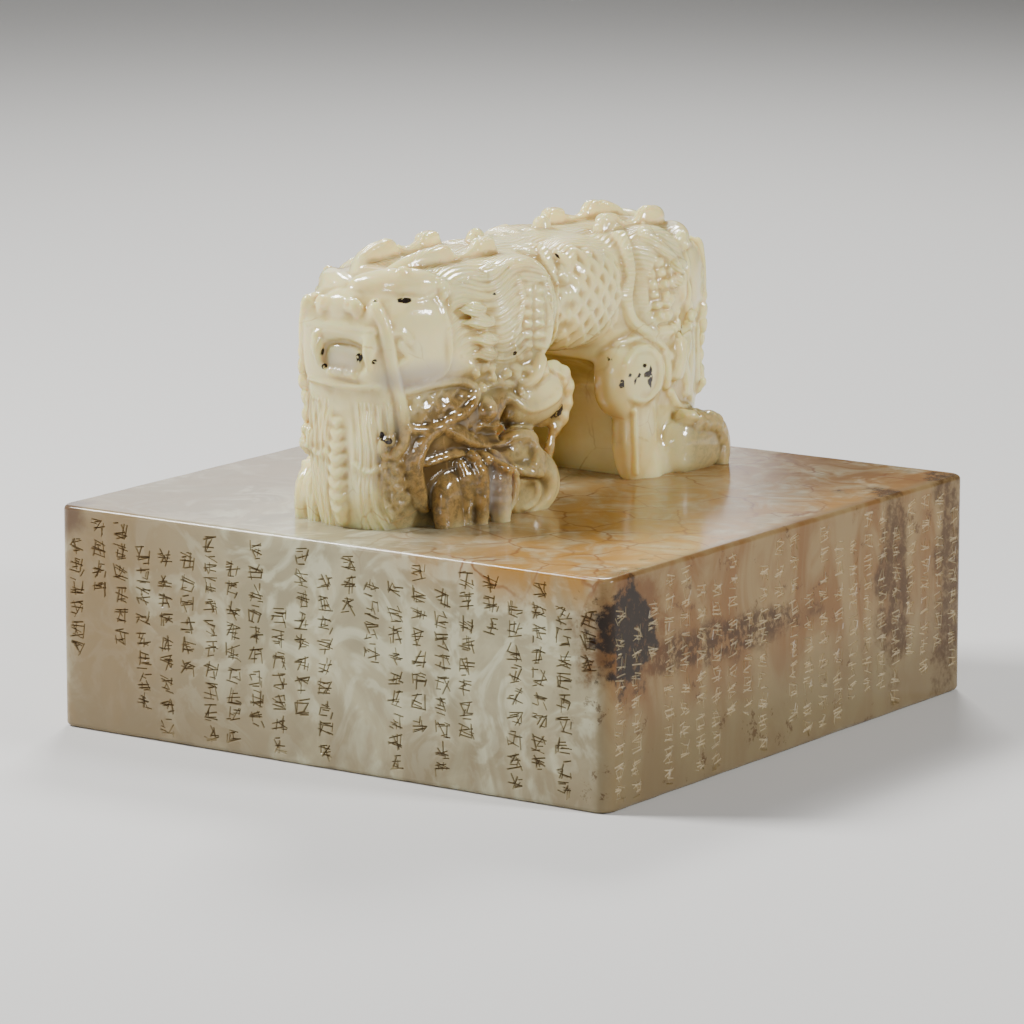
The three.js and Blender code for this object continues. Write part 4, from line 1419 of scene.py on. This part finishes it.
def block_jade(colours):
    """The block's jade: grey green in front, honey with cracks above, brown on the right."""
    p = Paint("jade_block")
    cloud = p.noise(0.016, 5.0, 1.2)
    patch = p.noise(0.011, 3.0, 2.5, seed=5.0)
    fine = p.noise(0.0016, 6.0, 0.3, rough=0.72)
    streak = p.noise(0.010, 5.0, 1.6, stretch=(1.0, 1.0, 0.45), seed=2.0)
    base = p.mix(p.rise(cloud, 0.35, 0.68), colours.grey_green[:], MOSS)
    base = p.mix(p.rise(patch, 0.45, 0.62, 0.0, 0.7), base, CLOUD)
    separate = p.node("ShaderNodeSeparateXYZ", {0: p.place})
    x, y, z = (separate.outputs[k] for k in range(3))

    # The left of the front is warm, and the lower edge darkens
    left = p.math("MULTIPLY", p.rise(x, -0.004, -0.042), p.rise(cloud, 0.25, 0.55, 0.35, 1.0))
    colour = p.mix(p.math("MULTIPLY", left, 0.8), base, WARM_BROWN)
    low = p.math("MULTIPLY", p.rise(z, 0.020, 0.0, 0.0, 0.75), p.rise(streak, 0.3, 0.6))
    colour = p.mix(low, colour, LOW_BROWN)

    # The top is honey towards the right and the back, with cracks
    above = p.rise(z, 0.027, 0.0357)
    to_right = p.math("ADD", x, p.math("MULTIPLY", y, 0.25))
    warm = p.math("MULTIPLY", p.rise(to_right, -0.012, 0.022), above)
    warm = p.math("MULTIPLY", warm, p.rise(streak, 0.3, 0.62, 0.35, 1.0))
    colour = p.mix(warm, colour, TOP_HONEY)
    rear = p.math("MULTIPLY", p.rise(y, 0.012, 0.045), p.rise(streak, 0.42, 0.6))
    colour = p.mix(p.math("MULTIPLY", rear, 0.7), colour, REAR_BROWN)
    crack = p.math("MULTIPLY", p.veins(0.0105, 0.035, seed=0.2), p.rise(to_right, -0.02, 0.015))
    crack = p.math("MULTIPLY", crack, p.rise(cloud, 0.38, 0.55, 0.15, 0.8))
    colour = p.mix(p.math("MULTIPLY", crack, above), colour, TOP_CRACK)

    # The right side is tan, with a dark band, a black blotch at the near corner and streaks
    side = p.rise(x, 0.0488, 0.0518)
    tan = p.mix(p.rise(streak, 0.35, 0.65), SIDE_BROWN, SIDE_TAN)
    tan = p.mix(p.rise(z, 0.021, 0.006, 0.0, 0.7), tan, SIDE_FOOT)
    colour = p.mix(side, colour, tan)
    band = p.blob((52, -22, 21.5), (14, 28, 3.6), fray=0.9)
    band = p.math("MULTIPLY", band, p.rise(fine, 0.40, 0.54))
    colour = p.mix(p.math("MULTIPLY", band, 0.9), colour, BAND_BLACK)
    far_streaks = p.math("MAXIMUM", p.blob((52, 47, 20), (10, 5, 26), fray=1.4),
                         p.blob((52, 30, 24), (9, 5, 16), fray=1.6))
    far_streaks = p.math("MULTIPLY", far_streaks, p.rise(fine, 0.34, 0.56, 0.35, 0.9))
    colour = p.mix(far_streaks, colour, STREAK_BLACK)
    blotch = p.blob((52.5, -46.5, 27), (6, 7, 9), fray=1.1, soft=0.18, grain=0.0045)
    halo = p.blob((52.5, -46, 27), (8, 10, 10), fray=1.0, grain=0.006)
    colour = p.mix(p.math("MULTIPLY", halo, 0.85), colour, HALO_BROWN)
    blotch = p.math("MULTIPLY", blotch, p.rise(fine, 0.34, 0.46, 0.45, 1.0))
    colour = p.mix(blotch, colour, colours.fleck[:])
    small = p.math("MULTIPLY", p.rise(p.noise(0.005, 6.0, rough=0.75, seed=4.0), 0.60, 0.66),
                   p.rise(x, 0.040, 0.052, 0.0, 0.75))
    colour = p.mix(small, colour, SPOT_BROWN)
    corner = p.blob((-51, -51, 34), (5, 5, 4), fray=0.6)
    colour = p.mix(p.math("MULTIPLY", corner, 0.8), colour, CORNER_BROWN)

    # Strokes on the stained right side get a pale painted highlight; the others, ink and painted
    # shade
    stroke_highlight = p.math("MULTIPLY", p.attribute("engraved"), p.rise(x, 0.050, 0.0519, 0.0, 0.6))
    colour = p.mix(stroke_highlight, colour, STROKE_HIGHLIGHT)
    # Ink together with painted shade in the grooves of the front, back and left
    stroke_ink_and_shade = p.math("MULTIPLY", p.attribute("engraved"), p.rise(x, 0.050, 0.0519, 1.0, 0.15))
    colour = p.mix(p.math("MULTIPLY", stroke_ink_and_shade, 0.92), colour, STROKE_INK_AND_SHADE)

    # The top is polished more brightly than the sides
    polish = p.rise(z, 0.0345, 0.0357, 0.25, 0.5)
    p.tree.links.new(polish, p.shader.inputs["Specular IOR Level"])
    p.shader.subsurface_method = "BURLEY"
    return p.finish(
        colour, p.noise(0.003, 4.0), 0.12, 0.0002,
        Roughness=0.17, IOR=1.42, Subsurface_Weight=0.4,
        Subsurface_Radius=(1.0, 0.8, 0.5), Subsurface_Scale=0.002,
    )


# Settings, operators and the panel


class SealSizes(PropertyGroup):
    """Sizes that a user may change"""

    side: FloatProperty(
        name="Side", description="Width of the square block", unit="LENGTH",
        default=CAD_HIGH[0] - CAD_LOW[0], min=0.02, precision=4,
    )
    corner: FloatProperty(
        name="Corner", description="Radius of the block's upright corners", unit="LENGTH",
        default=0.0021, min=0.0002, precision=4,
    )
    edge: FloatProperty(
        name="Edge", description="Radius of the block's upper and lower edges", unit="LENGTH",
        default=0.0007, min=0.0001, precision=4,
    )
    stroke_width: FloatProperty(
        name="Stroke width", description="Width of an engraved stroke", unit="LENGTH",
        default=0.00032, min=0.0001, precision=5,
    )
    stroke_depth: FloatProperty(
        name="Stroke depth", description="Depth of an engraved stroke", unit="LENGTH",
        default=0.00030, min=0.00005, precision=5,
    )
    grain: FloatProperty(
        name="Grain", description="Spacing of the mesh that the knop is carved in",
        unit="LENGTH", default=0.00033, min=0.0001, precision=5,
    )
    knop_triangles: IntProperty(
        name="Knop triangles", description="Most triangles that the knop may have",
        default=190000, min=1000,
    )


def colour_property(name, description, default):
    """A colour that a user may change."""
    return FloatVectorProperty(
        name=name, description=description, default=default, subtype="COLOR", size=3, min=0, max=1
    )


class SealColours(PropertyGroup):
    """Colours that a user may change"""

    cream: colour_property("Cream", "Main colour of the knop", (0.84, 0.73, 0.36))
    pale_green: colour_property("Pale green", "Cloudy greenish parts", (0.75, 0.71, 0.38))
    grey_green: colour_property("Grey green", "Main colour of the block", (0.30, 0.265, 0.165))
    # Honey colours the painted glow of light through the stone in the shade under the body
    honey: colour_property("Honey", "Warm parts under the body", (0.62, 0.38, 0.075))
    # Russet is the stain's dark colour, used also as painted shade in its hollows
    russet: colour_property("Russet", "Deep stain on the front paw", (0.05, 0.024, 0.007))
    fleck: colour_property("Fleck", "Black flecks and blotches", (0.02, 0.013, 0.009))
    floor: colour_property("Floor", "Colour of the floor", (0.60, 0.59, 0.57))


class SEAL_OT_block(Operator):
    """Makes the block with its engraved sides and its printing face"""

    bl_idname = "seal.block"
    bl_label = "Seal Block"

    def execute(self, context):
        sizes = context.scene.seal_sizes
        side = sizes.side / MM
        shape = rounded_block(side, BLOCK_TOP, sizes.corner / MM, sizes.edge / MM)
        made = new_object("seal_block", shape)
        combine(made, sunk_ground(side), "DIFFERENCE")
        for part in raised_bars(side):
            combine(made, part, "UNION")
        engrave(made, sizes)
        paint_block(made, sizes)
        made.data.materials.clear()
        made.data.materials.append(block_jade(context.scene.seal_colours))
        weigh = made.modifiers.new("even shading", "WEIGHTED_NORMAL")
        weigh.keep_sharp = True
        weigh.weight = 90
        settle(made)
        return {"FINISHED"}


class SEAL_OT_knop(Operator):
    """Makes the knop of two dragons with its relief and stains"""

    bl_idname = "seal.knop"
    bl_label = "Dragon Knop"

    def execute(self, context):
        sizes = context.scene.seal_sizes
        front = {"horn_set_back": 0, "foot_tuck": 3.4}
        back = {"horn_set_back": -5, "foot_tuck": 0}
        made = knop_blank(front, back, sizes.grain * 1.5)
        carve_knop(made, sizes)
        made.data.materials.clear()
        made.data.materials.append(knop_jade(context.scene.seal_colours))
        settle(made)
        return {"FINISHED"}


def settle(made):
    """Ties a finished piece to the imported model: it stands for the whole seal."""
    if not made.data.vertices:
        raise RuntimeError(made.name + " came out empty")
    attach(made, "root")
    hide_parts(CAD_NODE)


class SEAL_OT_stage(Operator):
    """Makes the floor, the soft lights and the camera"""

    bl_idname = "seal.stage"
    bl_label = "Stage"

    def execute(self, context):
        floor = new_object("floor", box((-2000, -2000, -20), (2000, 2000, -0.02)))
        plain = Paint("floor")
        plain.shader.inputs["Base Color"].default_value = (*context.scene.seal_colours.floor, 1)
        plain.shader.inputs["Roughness"].default_value = 0.85
        floor.data.materials.append(plain.material)
        light_scene(context)
        place_camera(context)
        return {"FINISHED"}


def light_scene(context):
    """Soft studio light from the upper left, from behind, from the right and low in front."""
    target = Vector((0, 0, 0.045))
    # Name, place, width in metres and power in watts
    lamps = (
        ("key", (-0.40, -0.24, 0.52), 0.18, 8.0),
        ("back", (-0.38, 0.60, 0.66), 0.22, 7.0),
        ("sheen", (-1.10, 1.20, 0.55), 0.70, 2.2),
        ("right", (0.66, 0.10, 0.36), 0.12, 5.0),
        ("front", (0.42, -0.74, 0.20), 0.16, 1.4),
    )
    for name, place, width, power in lamps:
        data = bpy.data.lights.new(name, "AREA")
        data.size = width
        data.energy = power
        lamp = bpy.data.objects.new(name, data)
        lamp.location = place
        lamp.rotation_euler = (target - Vector(place)).to_track_quat("-Z", "Y").to_euler()
        context.scene.collection.objects.link(lamp)
    world = bpy.data.worlds.new("studio")
    world.use_nodes = True
    background = world.node_tree.nodes["Background"]
    background.inputs["Color"].default_value = (1.0, 0.98, 0.95, 1)
    background.inputs["Strength"].default_value = 0.075
    context.scene.world = world


def place_camera(context):
    """The camera: it looks from an azimuth, counted from the front, and an elevation."""
    azimuth, elevation = math.radians(34.696), math.radians(10.997)
    right = Vector((math.cos(azimuth), math.sin(azimuth), 0))
    back = Vector((
        math.sin(azimuth) * math.cos(elevation),
        -math.cos(azimuth) * math.cos(elevation),
        math.sin(elevation),
    ))
    turn = Matrix((right, back.cross(right), back)).transposed()
    data = bpy.data.cameras.new("camera")
    data.lens = 201.93
    data.sensor_width = 36
    data.clip_start = 0.05
    data.clip_end = 20
    camera = bpy.data.objects.new("camera", data)
    place = Vector((0.51177, -0.74096, 0.20690))
    camera.matrix_world = Matrix.Translation(place) @ turn.to_4x4()
    context.scene.collection.objects.link(camera)
    context.scene.camera = camera


class SEAL_PT_panel(Panel):
    """Lists the pieces of the seal and its settings"""

    bl_label = "Jade Seal"
    bl_idname = "SEAL_PT_panel"
    bl_space_type = "VIEW_3D"
    bl_region_type = "UI"
    bl_category = "Jade Seal"

    def draw(self, context):
        for operator in OPERATORS:
            self.layout.operator(operator.bl_idname)
        for group in (context.scene.seal_sizes, context.scene.seal_colours):
            for name in group.__annotations__:
                self.layout.prop(group, name)


OPERATORS = (SEAL_OT_block, SEAL_OT_knop, SEAL_OT_stage)
CLASSES = (SealSizes, SealColours, *OPERATORS, SEAL_PT_panel)


def register():
    """Registers the classes and ties the settings to the scene."""
    for cls in CLASSES:
        bpy.utils.register_class(cls)
    bpy.types.Scene.seal_sizes = PointerProperty(type=SealSizes)
    bpy.types.Scene.seal_colours = PointerProperty(type=SealColours)


def unregister():
    """Takes the settings and the classes away again."""
    del bpy.types.Scene.seal_colours
    del bpy.types.Scene.seal_sizes
    for cls in reversed(CLASSES):
        bpy.utils.unregister_class(cls)


def main():
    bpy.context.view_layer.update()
    register()
    bpy.ops.seal.block()
    bpy.ops.seal.knop()
    bpy.ops.seal.stage()


if __name__ == "__main__":
    main()
